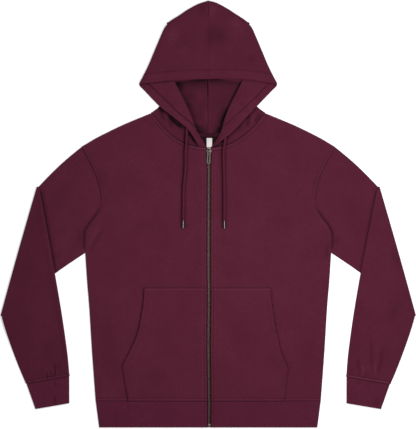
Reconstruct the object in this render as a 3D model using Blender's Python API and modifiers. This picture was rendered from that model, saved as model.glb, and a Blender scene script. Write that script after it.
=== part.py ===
"""Zip up hoodie, laid flat on its back with the sleeves folded over at the elbow.

Tables are in millimetres, +X to the viewer's right, +Y towards the hood and +Z up
from the surface. The table of a paired piece gives the +X one, and the other mirrors it.
"""

import math

import bmesh
import bpy
from mathutils import Vector

MM = 0.001

# Cloth walls and the gap between pieces that meet.
WALL = 1.8
BAND_WALL = 2.2
LABEL_WALL = 0.5
TAPE_WALL = 0.6
GAP = 0.3
NECK_GAP = 0.6
POCKET_GAP = 0.2
LAYER = WALL + GAP
HEIGHT = [WALL / 2 + LAYER * layer for layer in range(4)]
FOLD_RADIUS = LAYER / 2

# Heights of the pieces along y, and half widths along x.
NECK_FRONT_Y = 143.3
HEM_SEAM_Y = -411.4
HEM_Y = -468.6
HEM_TAPER = 7.5
FRONT_EDGE_X = 5.0
BRIM_Y = 296.5

# Zip.
CHAIN_WIDTH = 5.4
CHAIN_BASE_Z = 2.5
CHAIN_TOP_Z = 5.2
CHAIN_TOP_Y = 142.8
TAPE_WIDTH = 12.0
TAPE_RISE = 1.3
RISE_FROM_X = 34.0
RISE_LENGTH = 18.0
STOP_INSET = 0.3
STOP_LENGTH = 7.7
STOP_WIDTH = 6.6
SLIDER_LENGTH = 9.0
SLIDER_WIDTH = 12.6
SLIDER_PLATE = 1.5
SLIDER_Y = 137.5
BRIDGE_WIDTH = 3.2
BRIDGE_LENGTH = 5.2
BRIDGE_HEIGHT = 2.2
BRIDGE_EYE_RADIUS = 1.25
TAB_LENGTH = 27.4
TAB_THICKNESS = 1.2
TAB_WIDTHS = {"neck": 6.8, "end": 8.6}
TAB_CORNERS = {"neck": 0.55, "end": 3.4}
TAB_BAR = 1.2
TAB_EYE = {"width": 4.0, "length": 3.8}
TAB_SLOT = {"width": 3.0, "length": 6.0, "from_end": 3.6}

# Drawstring.
CORD_DIAMETER = 6.0
CORD_POINTS = 26
CORD_CLEARANCE = 0.5
COLLAR_RISE = 0.6
AGLET_DIAMETER = 5.0
AGLET_LENGTH = 18.0

# Air under the loose parts of the cloth.
FRONT_PUFF = 2.0
SLEEVE_PUFF = 1.8
FOREARM_PUFF = 2.2
CROWN_SAG = 2.6
FOREARM_LIFT = 2.4
FOREARM_DROP_LENGTH = 90.0

# Outlines, as (x, y) along the edge.
NECK_FRONT = [(FRONT_EDGE_X, NECK_FRONT_Y), (30, 146), (55, 153), (79, 170), (103, 194), (125, 222)]
NECK_BACK = [(0, 172), (40, 174.5), (80, 187), (108, 206), (125, 222)]
SHOULDER = [(125, 222), (160, 206.5), (193.6, 193.2), (246.4, 167), (278.3, 147.8)]
ARMHOLE = [
    (278.3, 147.8), (262, 120), (250, 98), (239, 65), (234.3, 35),
    (236.5, 14), (249, -7), (264, -27), (270.4, -42), (270.4, -85.4),
]
SIDE = [(270.4, -85.4), (266.2, -149.6), (261.8, -202.4), (255.2, -308), (247.5, HEM_SEAM_Y)]

# Where the columns of a front meet its neckline, shoulder and hem.
NECK_STEPS = [0, 0.09, 0.26, 0.44, 0.63, 0.82, 1]
SHOULDER_STEPS = [0, 0.25, 0.5, 0.75, 1]
HEM_STEPS = [0, 0.05, 0.14, 0.24, 0.33, 0.42, 0.5, 0.62, 0.75, 0.88, 1]
ARMHOLE_ROWS = 9
SIDE_ROWS = 6

# Sleeve: its fold at the elbow, then the seam and the end of the cuff, inner and outer corner.
ELBOW = {"top": (376.5, 61.0), "bottom": (456.5, -222.2)}
CUFF_SEAM = {"inner": (304.4, -355.2), "outer": (398.6, -371.6)}
CUFF_END = {"inner": (304.2, -415.8), "outer": (379.6, -428.8)}
EDGE_BULGE = {"over_arm": 3.0, "under_arm": 6.0, "inner": -8.0, "outer": 1.0}
UPPER_ARM_ROWS = 6
FOLD_ROWS = 6
FOREARM_ROWS = 7
CUFF_ROWS = 2

# Pocket: the hand opening from its top corner down, and where its side seam meets the hem.
POCKET_TOP_Y = -162.8
POCKET_OPENING = {
    "left": [(140.9, POCKET_TOP_Y), (144.0, -204.6), (158.5, -268.4), (190.0, -335.0)],
    "right": [(137.2, POCKET_TOP_Y), (148.5, -241), (159.8, -294.8), (178.3, -341.0)],
}
POCKET_SEAM_FOOT = {"left": (176.6, HEM_SEAM_Y), "right": (168.0, HEM_SEAM_Y)}
OPENING_ROWS = 6
POCKET_SEAM_ROWS = 2
POCKET_COLUMNS = 6

# Hood, laid open: crown edge, side outline, the front edge turned out as a flap,
# the flap's inner fold, the outer fold under it, and the seam at the centre.
CROWN = [(0, 468.6), (20, 463), (44, 450.2), (64, 436.8), (82, 424.6), (91, 415)]
OUTLINE = [
    (91, 415), (97.5, 403.8), (109.3, 378.4), (120.5, 352), (131.8, 325.6), (145.2, 299.2), (152.7, 284),
]
FLAP_EDGE = [(152.7, 284), (141.9, 272.8), (107, 236.5), (82.3, 215.6), (52, 187), (30, 161.5), (9.5, 145)]
INNER_FOLD_ABOVE = [(78, 422), (80, 380), (78, 335), (74, 292)]
INNER_FOLD = [(74, 292), (60.7, 264.9), (45.5, 233.2), (35, 206), (29, 184), (17, 162), (FRONT_EDGE_X, 143.7)]
OUTER_FOLD_ABOVE = [(90, 414), (97, 402), (118, 350), (125, 322), (122, 290)]
OUTER_FOLD = [(122, 290), (110, 264), (105, 246), (108, 236), (125, 222.4)]
CROWN_ROWS = 6
FLAP_ROWS = 8
CROWN_COLUMNS = 5
FLAP_COLUMNS = 3
FOLD_STEPS = 3

# How high the flap's two edges stand off the layer below, from the hood's tip to the zip.
FLAP_LIFT = [
    {"along": 0.0, "free_edge": 0.0, "inner_fold": 0.0},
    {"along": 0.25, "free_edge": 3.5, "inner_fold": 2.5},
    {"along": 0.5, "free_edge": 6.5, "inner_fold": 4.0},
    {"along": 0.75, "free_edge": 8.5, "inner_fold": 4.5},
    {"along": 0.875, "free_edge": 8.0, "inner_fold": 3.5},
    {"along": 1.0, "free_edge": 0.6, "inner_fold": 0.0},
]

# The layer under the flap follows its inner fold up by this share.
MIDDLE_LIFT = 0.25

# Drawstring ends, from under the flap down the front.
CORD_ROUTE = {
    "left": [
        (-47.0, 188.5), (-47.4, 172), (-48.2, 155), (-49.7, 138), (-49.9, 104),
        (-52.4, 74), (-54.2, 54), (-54.3, 20), (-54.9, -14),
    ],
    "right": [
        (38.8, 177), (37.2, 163), (34.8, 148), (33.7, 135), (34.0, 110),
        (34.9, 76), (35.4, 40), (35.5, -14),
    ],
}

NECK_TAPE_WIDTH = 8.0
NECK_TAPE_REACH = 0.2
LABEL = {"x": 3.2, "width": 14.0, "top": 166.5, "bottom": 143.2}

COLOURS = {
    "fleece": ("542233", 0.92, 0.0),
    "rib": ("502031", 0.92, 0.0),
    "cord": ("4E1F30", 0.85, 0.0),
    "tape": ("43202C", 0.8, 0.0),
    "label": ("E9E7E2", 0.7, 0.0),
    "zip_metal": ("7B736D", 0.35, 1.0),
    "aglet_metal": ("B9B7B4", 0.3, 1.0),
}


# ---- curves, patches and folds ----

def lerp(a, b, fraction):
    return a + (b - a) * fraction


def smooth(fraction):
    fraction = min(max(fraction, 0.0), 1.0)
    return fraction * fraction * (3 - 2 * fraction)


def even(count):
    return [i / count for i in range(count + 1)]


def along(table, fractions):
    """Points at these fractions of the length of a smooth curve through the table's points."""
    points = [Vector(row) for row in table]
    lengths = [0.0]
    for a, b in zip(points, points[1:]):
        lengths.append(lengths[-1] + (b - a).length)
    tangents = []
    for i in range(len(points)):
        low, high = max(i - 1, 0), min(i + 1, len(points) - 1)
        tangents.append((points[high] - points[low]) / (lengths[high] - lengths[low]))
    found = []
    for fraction in fractions:
        at = fraction * lengths[-1]
        i = max(k for k in range(len(points) - 1) if lengths[k] <= at + 1e-9)
        span = lengths[i + 1] - lengths[i]
        u = (at - lengths[i]) / span
        found.append(
            points[i] * (2 * u**3 - 3 * u**2 + 1)
            + tangents[i] * span * (u**3 - 2 * u**2 + u)
            + points[i + 1] * (3 * u**2 - 2 * u**3)
            + tangents[i + 1] * span * (u**3 - u**2)
        )
    return found


def line(start, end, fractions, bulge=0.0):
    """Points on a straight line, pushed towards +X by bulge at its middle."""
    start, end = Vector(start), Vector(end)
    return [lerp(start, end, f) + Vector((bulge * math.sin(math.pi * f), 0)) for f in fractions]


def shares(points):
    """The share of the whole length at each point."""
    lengths = [0.0]
    for a, b in zip(points, points[1:]):
        lengths.append(lengths[-1] + (b - a).length)
    return [length / lengths[-1] for length in lengths]


def patch(top, right, bottom, left):
    """Rows of points that fill four edges. top and bottom run across, left and right run down."""
    across = shares(bottom if (bottom[-1] - bottom[0]).length > (top[-1] - top[0]).length else top)
    down = shares(left)
    rows = []
    for j, r in enumerate(down):
        row = []
        for i, c in enumerate(across):
            sides = lerp(left[j], right[j], c)
            ends = lerp(top[i], bottom[i], r)
            corners = lerp(lerp(top[0], top[-1], c), lerp(bottom[0], bottom[-1], c), r)
            row.append(sides + ends - corners)
        rows.append(row)
    return rows


def fold(a, b, outward, steps=FOLD_STEPS):
    """The points between a and b of a half circle that stands out to one side."""
    centre, half = (a + b) / 2, (a - b) / 2
    side = Vector((outward.x, outward.y, 0)).normalized() * half.length
    turns = [math.pi * k / steps for k in range(1, steps)]
    return [centre + half * math.cos(turn) + side * math.sin(turn) for turn in turns]


def raised(point, z):
    return Vector((point.x, point.y, z))


# ---- objects ----

def linear(channel):
    return channel / 12.92 if channel <= 0.04045 else ((channel + 0.055) / 1.055) ** 2.4


def material_for(node, finish):
    hex_colour, roughness, metallic = COLOURS[finish]
    rgb = [linear(int(hex_colour[i : i + 2], 16) / 255) for i in (0, 2, 4)]
    material = bpy.data.materials.new(node)
    material.use_nodes = True
    shader = material.node_tree.nodes["Principled BSDF"]
    shader.inputs["Base Color"].default_value = (*rgb, 1)
    shader.inputs["Roughness"].default_value = roughness
    shader.inputs["Metallic"].default_value = metallic
    material.diffuse_color = (*rgb, 1)
    return material


def add_object(name, data, finish, parent=None):
    item = bpy.data.objects.new(name, data)
    data.materials.append(material_for(name, finish))
    bpy.data.collections["zip_up_hoodie"].objects.link(item)
    item.parent = parent
    return item


def add_cutter(name, data):
    item = bpy.data.objects.new(name, data)
    bpy.data.collections["cutters"].objects.link(item)
    item.hide_render = True
    item.display_type = "WIRE"
    return item


def box_mesh(name, low, high):
    """A box's mesh round its own middle, and the place of that middle."""
    low, high = Vector(low), Vector(high)
    mesh = bpy.data.meshes.new(name)
    shape = bmesh.new()
    bmesh.ops.create_cube(shape, size=1)
    bmesh.ops.scale(shape, vec=(high - low) * MM, verts=shape.verts)
    shape.to_mesh(mesh)
    shape.free()
    return mesh, (low + high) / 2 * MM


def rod_mesh(name, radius, length, segments):
    """A rod along its own z."""
    mesh = bpy.data.meshes.new(name)
    shape = bmesh.new()
    bmesh.ops.create_cone(
        shape, cap_ends=True, segments=segments, radius1=radius * MM, radius2=radius * MM, depth=length * MM
    )
    shape.to_mesh(mesh)
    shape.free()
    return mesh


def grid_mesh(name, rows, side, tube, keep):
    """A grid moved onto rows of points in millimetres. keep says which faces stay."""
    columns = len(rows[0]) - (0 if tube else 1)
    shape = bmesh.new()
    bmesh.ops.create_grid(shape, x_segments=columns, y_segments=len(rows) - 1, size=0.5)
    place = {}
    for vertex in shape.verts:
        i = round((vertex.co.x + 0.5) * columns)
        j = round((0.5 - vertex.co.y) * (len(rows) - 1))
        place[vertex] = (i, j)
        point = rows[j][i % len(rows[0])]
        vertex.co = Vector((point.x * side, point.y, point.z)) * MM
    if keep:
        corners = {face: [place[vertex] for vertex in face.verts] for face in shape.faces}
        gone = [f for f, ij in corners.items() if not keep(min(i for i, j in ij), min(j for i, j in ij))]
        bmesh.ops.delete(shape, geom=gone, context="FACES")
    if tube:
        bmesh.ops.remove_doubles(shape, verts=shape.verts, dist=1e-6)
    bmesh.ops.recalc_face_normals(shape, faces=shape.faces)
    mesh = bpy.data.meshes.new(name)
    shape.to_mesh(mesh)
    shape.free()
    mesh.shade_smooth()
    return mesh


def cloth(name, rows, finish, wall=WALL, side=1, tube=False, mirrored=False, keep=None):
    """A wall of even thickness with a grid of points at its middle."""
    item = add_object(name, grid_mesh(name, rows, side, tube, keep), finish)
    if mirrored:
        mirror = item.modifiers.new("other_half", "MIRROR")
        mirror.use_clip = True
        mirror.merge_threshold = 0.0001
    solid = item.modifiers.new("wall", "SOLIDIFY")
    solid.thickness = wall * MM
    solid.offset = 0
    solid.use_even_offset = True
    solid.use_quality_normals = True


def block(name, low, high, finish, bevel=0.0):
    """A box between two corners, in millimetres, with rounded edges."""
    mesh, middle = box_mesh(name, low, high)
    item = add_object(name, mesh, finish)
    item.location = middle
    if bevel:
        rounding = item.modifiers.new("rounding", "BEVEL")
        rounding.width = bevel * MM
        rounding.segments = 2
    return item


# ---- body ----

def front_height(x, across=0.0, down=0.0):
    """Middle of a front's wall: over the zip tape at its edge, with some air under it."""
    rise = TAPE_RISE * smooth((RISE_FROM_X - x) / RISE_LENGTH)
    return HEIGHT[1] + rise + FRONT_PUFF * math.sin(math.pi * across) * math.sin(math.pi * down)


def side_edge():
    return along(ARMHOLE, even(ARMHOLE_ROWS)) + along(SIDE, even(SIDE_ROWS))[1:]


def front_rows():
    top = along(NECK_FRONT, NECK_STEPS) + along(SHOULDER, SHOULDER_STEPS)[1:]
    right = side_edge()
    bottom = line((FRONT_EDGE_X, HEM_SEAM_Y), SIDE[-1], HEM_STEPS)
    left = line(NECK_FRONT[0], (FRONT_EDGE_X, HEM_SEAM_Y), even(len(right) - 1))
    last = len(right) - 1
    return [
        [raised(p, front_height(p.x, HEM_STEPS[i], j / last)) for i, p in enumerate(row)]
        for j, row in enumerate(patch(top, right, bottom, left))
    ]


def on_front(point, lift=0.0):
    """A point moved up to the middle of the front's wall, and lift above it."""
    across = (abs(point.x) - FRONT_EDGE_X) / (SIDE[-1][0] - FRONT_EDGE_X)
    down = (NECK_FRONT_Y - point.y) / (NECK_FRONT_Y - HEM_SEAM_Y)
    return raised(point, front_height(abs(point.x), across, down) + lift)


def make_body():
    for side, name in ((-1, "front_left"), (1, "front_right")):
        cloth(name, front_rows(), "fleece", side=side)
    top = along(NECK_BACK, even(len(NECK_STEPS) - 1)) + along(SHOULDER, SHOULDER_STEPS)[1:]
    right = side_edge()
    bottom = line((0, HEM_SEAM_Y), SIDE[-1], HEM_STEPS)
    left = line(NECK_BACK[0], (0, HEM_SEAM_Y), even(len(right) - 1))
    rows = [[raised(p, HEIGHT[0]) for p in row] for row in patch(top, right, bottom, left)]
    cloth("back", rows, "fleece", mirrored=True)


def make_hem_band():
    """One band from zip edge to zip edge, round both sides."""
    back_z = BAND_WALL / 2
    front_z = back_z + BAND_WALL + GAP
    turn = (front_z - back_z) / 2 + BAND_WALL / 2
    top_half = SIDE[-1][0]
    rows = []
    for f in even(2):
        y = lerp(HEM_SEAM_Y - GAP, HEM_Y, f)
        half = top_half - HEM_TAPER * f - turn
        front = [Vector((lerp(FRONT_EDGE_X, half, c), y, front_z)) for c in HEM_STEPS]
        for p in front:
            p.z += (TAPE_RISE - GAP) * smooth((RISE_FROM_X - p.x) / RISE_LENGTH)
        back = [Vector((half * c, y, back_z)) for c in (1, 0.5, 0)]
        half_ring = front + fold(front[-1], back[0], Vector((1, 0, 0))) + back
        other = [Vector((-p.x, p.y, p.z)) for p in reversed(half_ring[:-1])]
        rows.append(half_ring + other)
    cloth("hem_band", rows, "rib", wall=BAND_WALL)


# ---- sleeves ----

def underarm_distance(point):
    """How far a point lies below the line from the armpit to the elbow's tip."""
    start, end = Vector(ARMHOLE[-1]), Vector(ELBOW["bottom"])
    run = (end - start).normalized()
    offset = point - start
    return offset.x * run.y - offset.y * run.x


def sleeve_row(points, low, high, swapped):
    """One ring through these points of the row: front wall, far edge, back wall, near edge."""
    run = (points[-1] - points[0]).normalized()
    inset = FOLD_RADIUS + WALL / 2
    points = [p.copy() for p in points]
    points[0] += run * inset
    points[-1] -= run * inset
    last = len(points) - 1
    lower = [raised(p, low(k / last, p)) for k, p in enumerate(points)]
    upper = [raised(p, high(k / last, p)) for k, p in enumerate(points)]
    front, back = (lower, upper) if swapped else (upper, lower)
    far = fold(front[-1], back[-1], run)
    near = fold(back[0], front[0], -run)
    return front + far + back[::-1] + near


def elbow_frame():
    """The axis that the sleeve folds about, inside the outline, and the way out from it."""
    top, bottom = Vector(ELBOW["top"]), Vector(ELBOW["bottom"])
    run = (bottom - top).normalized()
    out = Vector((-run.y, run.x))
    axis_z = HEIGHT[1] + FOLD_RADIUS
    return top - out * axis_z, bottom - out * axis_z, out, axis_z


def upper_arm_rows(top, bottom):
    cap = [p + Vector((GAP + 0.1, 0)) for p in along(ARMHOLE, even(ARMHOLE_ROWS))]
    elbow = line(top, bottom, shares(cap))
    rows = []
    for f in even(UPPER_ARM_ROWS):
        row = []
        for k, s in enumerate(shares(cap)):
            p = lerp(cap[k], elbow[k], f)
            bulge = lerp(EDGE_BULGE["over_arm"], EDGE_BULGE["under_arm"], s)
            row.append(p + Vector((0, bulge * math.sin(math.pi * f))))
        puff = SLEEVE_PUFF * 6.75 * f * (1 - f) ** 2
        rows.append(
            sleeve_row(
                row,
                lambda s, p: HEIGHT[0],
                lambda s, p, puff=puff: HEIGHT[1] + puff * 4 * s * (1 - s),
                False,
            )
        )
    return rows


def forearm_rows(top, bottom):
    seam = line(CUFF_SEAM["inner"], CUFF_SEAM["outer"], even(ARMHOLE_ROWS))
    elbow = line(top, bottom, even(ARMHOLE_ROWS))
    rows = []
    for f in even(FOREARM_ROWS):
        row = []
        for k, s in enumerate(even(ARMHOLE_ROWS)):
            p = lerp(elbow[k], seam[k], f)
            bulge = lerp(EDGE_BULGE["inner"], EDGE_BULGE["outer"], s)
            row.append(p + Vector((bulge * math.sin(math.pi * f), 0)))

        def low(s, p, f=f):
            on_arm = 1 - smooth(underarm_distance(p) / FOREARM_DROP_LENGTH)
            lift = FOREARM_LIFT * math.sin(math.pi * min(1.6 * f, 1)) * (1 - s)
            return HEIGHT[0] + 2 * LAYER * on_arm + lift

        def high(s, p, f=f):
            return low(s, p, f) + LAYER + FOREARM_PUFF * math.sin(math.pi * f) * 4 * s * (1 - s)

        rows.append(sleeve_row(row, low, high, True))
    return rows


def make_sleeves():
    """A tube from armhole to cuff seam. It turns over at the elbow and lies on itself."""
    top, bottom, out, axis_z = elbow_frame()
    upper = upper_arm_rows(top, bottom)
    fore = forearm_rows(top, bottom)
    turned = []
    for step in range(1, FOLD_ROWS):
        angle = math.pi * step / FOLD_ROWS
        row = []
        for p in upper[-1]:
            reach = axis_z - p.z
            flat = Vector((p.x, p.y)) + out * reach * math.sin(angle)
            row.append(raised(flat, axis_z - reach * math.cos(angle)))
        turned.append(row)
    for side, name in ((-1, "sleeve_left"), (1, "sleeve_right")):
        cloth(name, upper + turned + fore, "fleece", side=side, tube=True)


def make_cuffs():
    inset = 0.8
    rows = []
    for f in even(CUFF_ROWS):
        inner = lerp(Vector(CUFF_SEAM["inner"]), Vector(CUFF_END["inner"]), f)
        outer = lerp(Vector(CUFF_SEAM["outer"]), Vector(CUFF_END["outer"]), f)
        down = Vector((0, -(GAP + 0.1) * (1 - f)))
        run = (outer - inner).normalized() * inset
        rows.append(line(inner + run + down, outer - run + down, even(ARMHOLE_ROWS)))
    low = BAND_WALL / 2
    rings = [
        sleeve_row(row, lambda s, p: low, lambda s, p: low + BAND_WALL + GAP, True) for row in rows
    ]
    for side, name in ((-1, "cuff_left"), (1, "cuff_right")):
        cloth(name, rings, "rib", wall=BAND_WALL, side=side, tube=True)


# ---- hood ----

def flap_lift(share, edge):
    for low, high in zip(FLAP_LIFT, FLAP_LIFT[1:]):
        if share <= high["along"]:
            f = (share - low["along"]) / (high["along"] - low["along"])
            return lerp(low[edge], high[edge], f)
    return FLAP_LIFT[-1][edge]


def hood_rows():
    """Rows from crown to neckline, each running crown, flap, middle and bottom layer.

    The crown layer lies on top down to the brim. Under it the side turns back in as the
    flap, out again as the middle layer and in as the bottom layer, up to the centre seam.
    """
    upper, lower = even(CROWN_ROWS), even(FLAP_ROWS)

    def two_part(above, below):
        return along(above, upper) + along(below, lower)[1:]

    outline = two_part(OUTLINE, FLAP_EDGE)
    inner = two_part(INNER_FOLD_ABOVE, INNER_FOLD)
    outer = two_part(OUTER_FOLD_ABOVE, OUTER_FOLD)
    edge = FOLD_RADIUS + WALL / 2
    outline = [p - Vector((edge * (0.5 if j in (0, CROWN_ROWS) else 1), 0)) for j, p in enumerate(outline)]
    outer = [p - Vector((edge, 0)) if j < len(outer) - 1 else p for j, p in enumerate(outer)]
    inner = [p + Vector((edge, 0)) if j < len(inner) - 1 else p for j, p in enumerate(inner)]
    centre = line((0, CROWN[0][1]), (0, BRIM_Y), upper)
    centre += line((0, BRIM_Y), (0, NECK_BACK[0][1] + GAP), lower)[1:]

    crown_top = along(CROWN, even(CROWN_COLUMNS))
    crown_top[-1] = outline[0]
    brim = line((0, BRIM_Y), outline[CROWN_ROWS], even(CROWN_COLUMNS))
    for p in brim[1:-1]:
        p.y += 2.4 * math.sin(math.pi * p.x / outline[CROWN_ROWS].x)
    crown = patch(crown_top, outline[: CROWN_ROWS + 1], brim, centre[: CROWN_ROWS + 1])

    neck = [p + Vector((0, NECK_GAP)) for p in along(NECK_FRONT, NECK_STEPS)]
    neck[0], outer[-1] = inner[-1], neck[-1]
    flap = patch(
        line(outline[0], inner[0], even(FLAP_COLUMNS)), inner,
        line(outline[-1], inner[-1], even(FLAP_COLUMNS)), outline,
    )
    middle = patch(line(inner[0], outer[0], NECK_STEPS), outer, neck, inner)
    back = [p + Vector((0, NECK_GAP)) for p in along(NECK_BACK, even(len(NECK_STEPS) - 1))][::-1]
    back[0], centre[-1] = outer[-1], back[-1]
    top_back = along(CROWN, even(len(NECK_STEPS) - 1))[::-1]
    top_back[0] = outer[0]
    bottom = patch(top_back, centre, back, outer)

    rows = []
    for j in range(CROWN_ROWS + FLAP_ROWS + 1):
        share = max(j - CROWN_ROWS, 0) / FLAP_ROWS
        in_lift, free_lift = flap_lift(share, "inner_fold"), flap_lift(share, "free_edge")
        row = []
        for i, c in enumerate(even(CROWN_COLUMNS)):
            p = crown[min(j, CROWN_ROWS)][i]
            row.append(raised(p, HEIGHT[3] - CROWN_SAG * (1 - smooth(p.x / inner[min(j, CROWN_ROWS)].x))))
        under = [
            raised(p, HEIGHT[2] + lerp(free_lift, in_lift, i / FLAP_COLUMNS)) for i, p in enumerate(flap[j])
        ]
        last = len(NECK_STEPS) - 1
        mid = []
        for i, p in enumerate(middle[j]):
            at_neck = front_height(p.x)
            lift = in_lift * MIDDLE_LIFT * (1 - smooth(i / last * 2.5))
            z = lerp(HEIGHT[1] + lift, at_neck, share**3)
            mid.append(raised(p, z))
        low = [raised(p, HEIGHT[0]) for p in bottom[j]]
        out = Vector((1, 0, 0))
        row += fold(row[-1], under[0], out) + under + fold(under[-1], mid[0], -out)
        row += mid + fold(mid[-1], low[0], out) + low
        rows.append(row)
    return rows


def make_hood():
    """The crown layer stops at the brim, and the centre seam leaves a gap between the halves."""
    rows = hood_rows()
    for row in rows:
        for p in row:
            p.x = max(p.x, GAP / 2)
    crown_strip = CROWN_COLUMNS + FOLD_STEPS

    def keep(i, j):
        return i >= crown_strip or j < CROWN_ROWS

    for side, name in ((-1, "hood_left"), (1, "hood_right")):
        cloth(name, rows, "fleece", side=side, keep=keep)


def make_neck_trim():
    """Tape over the back neck seam, and the blank label that hangs from it."""
    reach = [NECK_TAPE_REACH * f for f in even(6)]
    z = WALL + GAP + TAPE_WALL / 2
    middle = along(NECK_BACK, reach)
    rows = [
        [Vector((p.x, p.y + offset, z)) for p in middle]
        for offset in (NECK_TAPE_WIDTH / 2, -NECK_TAPE_WIDTH / 2)
    ]
    cloth("neck_tape", rows, "tape", wall=TAPE_WALL, mirrored=True)
    half = LABEL["width"] / 2
    block(
        "neck_label",
        (LABEL["x"] - half, LABEL["bottom"], WALL + GAP),
        (LABEL["x"] + half, LABEL["top"], WALL + GAP + LABEL_WALL),
        "label",
    )


# ---- pockets ----

def make_pockets():
    """Each pocket follows its front's form, moved out by a wall and a gap."""
    steps = [step / HEM_STEPS[POCKET_COLUMNS] for step in HEM_STEPS[: POCKET_COLUMNS + 1]]
    for side, name in ((-1, "left"), (1, "right")):
        opening = along(POCKET_OPENING[name], even(OPENING_ROWS))
        right = opening + line(opening[-1], POCKET_SEAM_FOOT[name], even(POCKET_SEAM_ROWS))[1:]
        left = [Vector((FRONT_EDGE_X, p.y)) for p in right]
        top = line(left[0], right[0], steps)
        bottom = line(left[-1], right[-1], steps)
        rows = [[on_front(p, LAYER + POCKET_GAP) for p in row] for row in patch(top, right, bottom, left)]
        cloth(f"pocket_{name}", rows, "fleece", side=side)


# ---- zip ----

def make_zip():
    half = CHAIN_WIDTH / 2
    stop_low = HEM_Y + STOP_INSET
    stop_y = stop_low + STOP_LENGTH
    for side, name in ((-1, "zip_tape_left"), (1, "zip_tape_right")):
        inner, outer = side * (half + GAP), side * (half + GAP + TAPE_WIDTH)
        block(
            name,
            (min(inner, outer), HEM_Y + 1, CHAIN_BASE_Z),
            (max(inner, outer), CHAIN_TOP_Y, CHAIN_BASE_Z + TAPE_WALL),
            "tape",
        )
    block("zip_chain", (-half, stop_y + GAP, CHAIN_BASE_Z), (half, CHAIN_TOP_Y, CHAIN_TOP_Z), "zip_metal")
    block(
        "zip_bottom_stop",
        (-STOP_WIDTH / 2, stop_low, CHAIN_BASE_Z + TAPE_WALL + GAP),
        (STOP_WIDTH / 2, stop_y, CHAIN_TOP_Z + 0.8),
        "zip_metal",
        bevel=0.5,
    )


def make_slider():
    """The slider's crown plate with the bridge that holds the pull tab's bar."""
    plate_z = CHAIN_TOP_Z + GAP + SLIDER_PLATE
    axis_z = plate_z + 0.35 + TAB_THICKNESS / 2
    slider = block(
        "zip_slider",
        (-SLIDER_WIDTH / 2, SLIDER_Y - SLIDER_LENGTH / 2, CHAIN_TOP_Z + GAP),
        (SLIDER_WIDTH / 2, SLIDER_Y + SLIDER_LENGTH / 2, plate_z),
        "zip_metal",
        bevel=0.5,
    )
    mesh, middle = box_mesh(
        "slider_bridge",
        (-BRIDGE_WIDTH / 2, SLIDER_Y - BRIDGE_LENGTH / 2, plate_z - 0.6),
        (BRIDGE_WIDTH / 2, SLIDER_Y + BRIDGE_LENGTH / 2, axis_z + BRIDGE_HEIGHT),
    )
    bridge = add_cutter("slider_bridge", mesh)
    bridge.location = middle
    eye = add_cutter("bridge_eye", rod_mesh("bridge_eye", BRIDGE_EYE_RADIUS, BRIDGE_WIDTH * 2, 16))
    eye.location = Vector((0, SLIDER_Y, axis_z)) * MM
    eye.rotation_euler = (0, math.pi / 2, 0)
    for other, operation in ((bridge, "UNION"), (eye, "DIFFERENCE")):
        boolean = slider.modifiers.new(other.name, "BOOLEAN")
        boolean.object = other
        boolean.operation = operation
    return axis_z


def rounded_outline(half_top, half_end, top, end, corners):
    """A tapered plate's outline from its top down, with the radius of its corners there and at its end."""
    points = []
    places = [(half_top, top, 0), (half_end, end, -90), (-half_end, end, -180), (-half_top, top, -270)]
    for x, y, start in places:
        corner = corners[0] if y == top else corners[1]
        centre_x = x - math.copysign(corner, x)
        centre_y = y + (corner if y == end else -corner)
        for k in range(4):
            turn = math.radians(90 + start - 30 * k)
            points.append((centre_x + corner * math.cos(turn), centre_y + corner * math.sin(turn)))
    return points


def make_pull_tab(axis_z):
    """A flat tab with an eye round the bridge. Its origin lies on the hinge's axis."""
    pivot = bpy.data.objects.new("pull_tab_pivot", None)
    pivot.location = Vector((0, SLIDER_Y, axis_z)) * MM
    bpy.data.collections["zip_up_hoodie"].objects.link(pivot)
    bar = TAB_BAR / 2
    corners = (TAB_CORNERS["neck"], TAB_CORNERS["end"])
    outer = rounded_outline(TAB_WIDTHS["neck"] / 2, TAB_WIDTHS["end"] / 2, bar, -TAB_LENGTH, corners)
    eye_half, slot_half = TAB_EYE["width"] / 2, TAB_SLOT["width"] / 2
    eye_end = -bar - TAB_EYE["length"]
    slot_end = -TAB_LENGTH + TAB_SLOT["from_end"]
    eye = rounded_outline(eye_half, eye_half, -bar, eye_end, (0.4, 0.4))
    slot = rounded_outline(slot_half, slot_half, slot_end + TAB_SLOT["length"], slot_end, (1.2, 1.2))
    data = bpy.data.curves.new("zip_pull_tab", "CURVE")
    data.dimensions = "2D"
    data.fill_mode = "BOTH"
    data.extrude = TAB_THICKNESS / 2 * MM
    for outline in (outer, eye[::-1], slot[::-1]):
        spline = data.splines.new("POLY")
        spline.points.add(len(outline) - 1)
        for point, (x, y) in zip(spline.points, outline):
            point.co = (x * MM, y * MM, 0, 1)
        spline.use_cyclic_u = True
    add_object("zip_pull_tab", data, "zip_metal", parent=pivot)


# ---- drawstring ----

def cord_height(point):
    """Height of the drawstring's middle: on the collar above the neck seam, on the front below."""
    on_collar = point.y > NECK_FRONT_Y
    below = HEIGHT[1] + COLLAR_RISE if on_collar else on_front(point).z
    return below + WALL / 2 + CORD_CLEARANCE + CORD_DIAMETER / 2


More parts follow.
